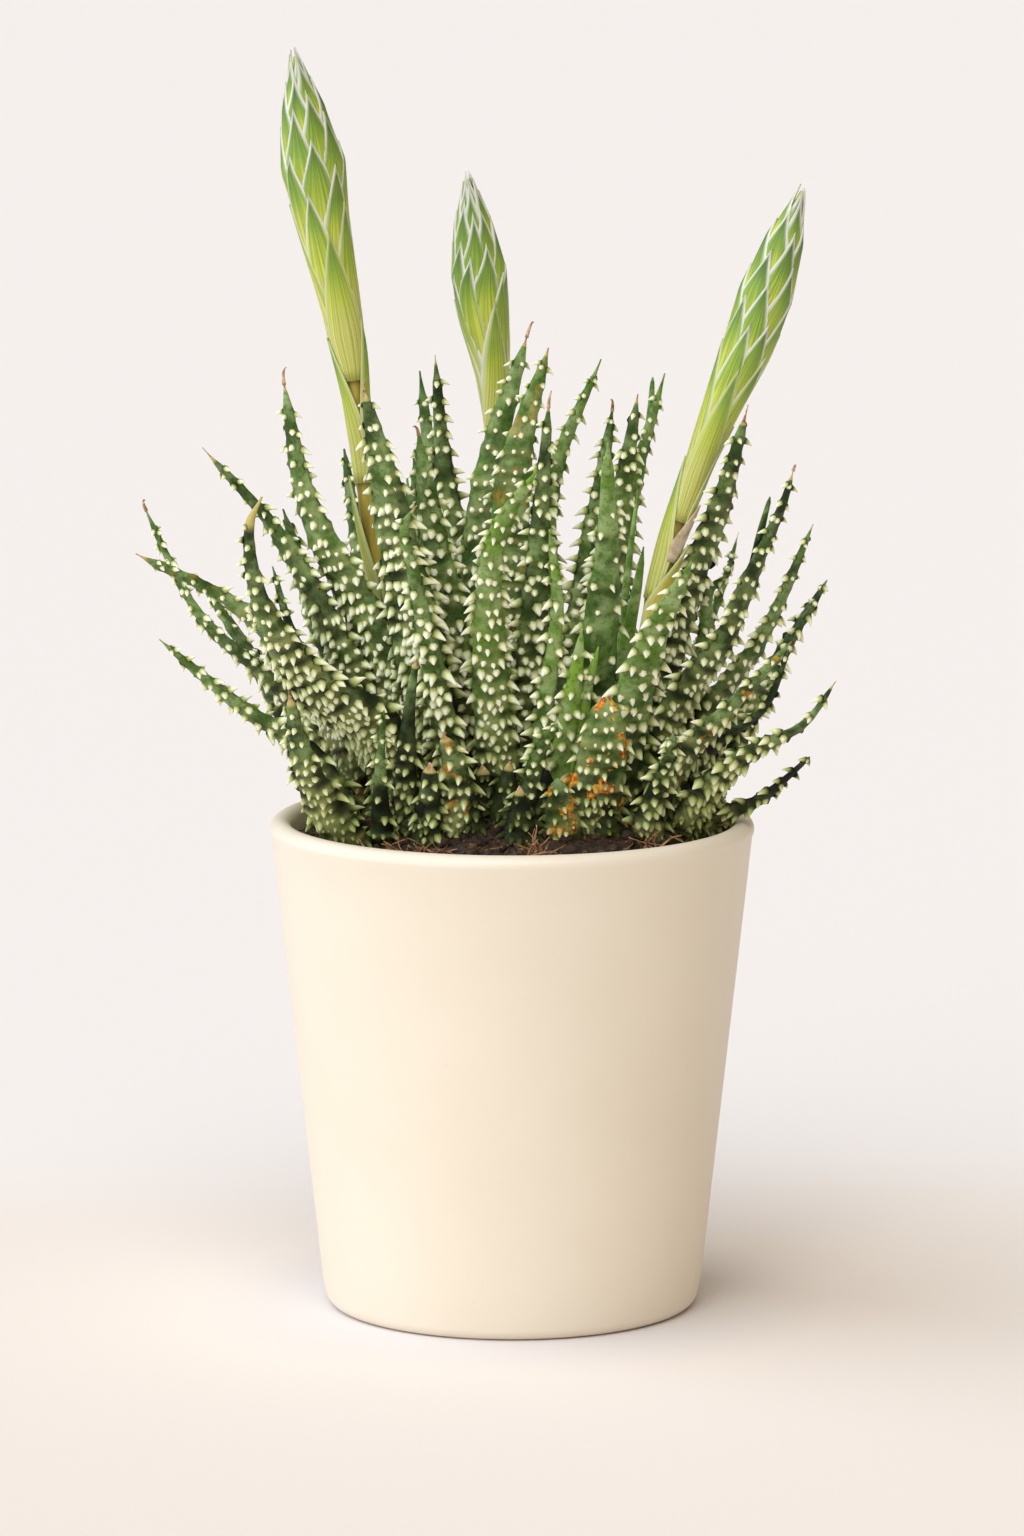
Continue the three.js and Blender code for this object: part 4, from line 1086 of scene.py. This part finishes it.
def add_soil_body(shape):
    sides, steps = 120, 30
    edge = inner_radius(SOIL_EDGE_Z) - 0.4
    turn = ring_angles(sides)
    circle = np.stack([np.cos(turn), np.sin(turn)], 1)
    rings = []
    for radius, z in ((inner_radius(9) - 0.4, SOIL_BOTTOM_Z), (edge - 0.1, SOIL_EDGE_Z - 2)):
        rings.append(np.column_stack([circle * radius, np.full(sides, z)]))
    for k in range(steps):
        flat = circle * edge * (1 - k / steps)
        rings.append(np.column_stack([flat, [soil_height(x, y) for x, y in flat]]))
    shape.add_tube(rings, (0, 0, SOIL_BOTTOM_Z), (0, 0, soil_height(0, 0)))


def add_root_tuft(shape, x, y, count, rng):
    """Short dry roots that stand out of the soil together."""
    z = soil_height(x, y)
    for _ in range(count):
        start = (x + rng.uniform(-3.5, 3.5), y + rng.uniform(-2, 2), z + rng.uniform(0, 1))
        heading = (rng.uniform(-0.8, 0.8), rng.uniform(-0.5, 0.2), rng.uniform(0.3, 1.2))
        add_fibre(shape, start, heading, rng.uniform(4, 9), rng.uniform(0.18, 0.4), rng)


def make_soil(material):
    rng = random.Random(SEED)
    shape = Shape("fibre")
    add_soil_body(shape)
    for _ in range(CRUMBS):
        x, y, z = soil_place(rng, 0.16, 0.93)
        size = 0.5 + 1.5 * rng.random() ** 3
        add_lump(shape, (x, y, z + size * 0.2), size, rng, 0.25 if rng.random() < 0.1 else 0.0)
    for x, y, count in ROOT_TUFTS:
        add_root_tuft(shape, x, y, count, rng)
    for _ in range(FIBRES):
        x, y, z = soil_place(rng, 0.25, 0.87)
        heading = (rng.uniform(-1, 1), rng.uniform(-1, 1), rng.uniform(0, 0.3))
        add_fibre(shape, (x, y, z + 0.3), heading, rng.uniform(4, 11), rng.uniform(0.12, 0.3), rng)
    place_piece("soil_peat", shape, "soil", material)


def crown_point(turn, reach):
    """A point on the mound, reach 0 at its top and 1 at its edge."""
    rise = CROWN_TOP_Z - CROWN_EDGE_Z
    return np.array([CROWN_MIDDLE[0] + CROWN_HALF_X * reach * math.cos(turn),
                     CROWN_MIDDLE[1] + CROWN_HALF_Y * reach * math.sin(turn),
                     CROWN_EDGE_Z + rise * (1 - reach * reach)])


def add_leaf_base(shape, rng, turn, reach):
    """The short toothed stub of an old or very young leaf, which leans out of the mound."""
    foot = crown_point(turn, reach)
    lean = rng.uniform(1, 5)
    ways = [turn + rng.uniform(-0.5, 0.5) for _ in range(2)]
    outward = lean * np.array([math.cos(ways[0]), math.sin(ways[1]), 0])
    height = rng.uniform(7, 15)
    line = [foot - [0, 0, 3], foot + outward * 0.3 + [0, 0, height * 0.5], foot + outward + [0, 0, height]]
    widths = [rng.uniform(6, 8), rng.uniform(6, 8), 4.5, 2]
    stub = Leaf(widths, line, tone=rng.uniform(0, 0.4), dry=rng.choice([0, 0, 1.5, 3]), rear=foot[1] > 5)
    add_leaf(shape, stub, rng)


def make_crown(material):
    """The low mound of grown-together stems, with its leaf stubs set by the golden angle."""
    rng = random.Random(SEED + 1)
    shape = Shape("tone", "tooth", "dry", "rust", "earth")
    turns = ring_angles(CROWN_SIDES)
    rings = []
    for z in (CROWN_BOTTOM_Z, CROWN_EDGE_Z - 2):
        rings.append([(*crown_point(turn, 1)[:2], z) for turn in turns])
    for reach in np.linspace(1, 0.04, 30):
        ring = [crown_point(turn, reach) for turn in turns]
        rings.append([point + [0, 0, noise.noise(Vector(point / 4)) * 1.2] for point in ring])
    bottom = (*CROWN_MIDDLE, CROWN_BOTTOM_Z)
    shape.add_tube(rings, bottom, (*CROWN_MIDDLE, CROWN_TOP_Z), earth=1.0)
    for k in range(LEAF_BASES):
        reach = math.sqrt((k + 0.5) / LEAF_BASES) * 0.97
        add_leaf_base(shape, rng, math.radians(k * GOLDEN_ANGLE), reach)
    place_piece("crown_stems", shape, "crown", material)


# Floor, lights and camera

def make_floor():
    half = FLOOR_HALF_SIDE
    corners = [(-half, -half, 0), (half, -half, 0), (half, half, 0), (-half, half, 0)]
    mesh = bpy.data.meshes.new("floor")
    mesh.from_pydata(corners, [], [(0, 1, 2, 3)])
    mesh.materials.append(floor_material())
    floor = add_object("floor", mesh)


def add_sun(name, towards, strength, softness, colour):
    light = bpy.data.lights.new(name, "SUN")
    light.energy = strength
    light.angle = math.radians(softness)
    light.color = colour
    add_object(name, light).rotation_euler = (-Vector(towards)).to_track_quat("-Z", "Y").to_euler()


def make_lights():
    world = bpy.data.worlds.new("studio")
    world.use_nodes = True
    background = world.node_tree.nodes["Background"]
    background.inputs["Color"].default_value = SURROUND_COLOUR
    background.inputs["Strength"].default_value = SURROUND_STRENGTH
    bpy.context.scene.world = world
    for name, light in LIGHTS.items():
        add_sun(name, **light)


def make_camera():
    data = bpy.data.cameras.new("camera")
    data.lens = CAMERA_LENS
    data.sensor_width = CAMERA_SENSOR
    camera = add_object("camera", data)
    camera.location = CAMERA_PLACE
    camera.rotation_euler = (math.radians(90 + CAMERA_PITCH), 0, 0)
    bpy.context.scene.camera = camera


def main():
    make_camera()
    make_lights()
    make_floor()
    bpy.context.scene.view_settings.view_transform = "Standard"
    make_pot(pot_material())
    make_soil(soil_material())
    make_crown(leaf_material("crown_skin", darker=0.25))
    stalk, bract, leaf = stalk_material(), bract_material(), leaf_material("leaf_skin")
    for index, (name, spike) in enumerate(SPIKES.items()):
        make_stalk(name, spike, stalk)
        make_head(name, spike, bract, index)
    for index, (name, looks) in enumerate(LEAVES.items()):
        make_leaf(name, looks, leaf, index)


main()
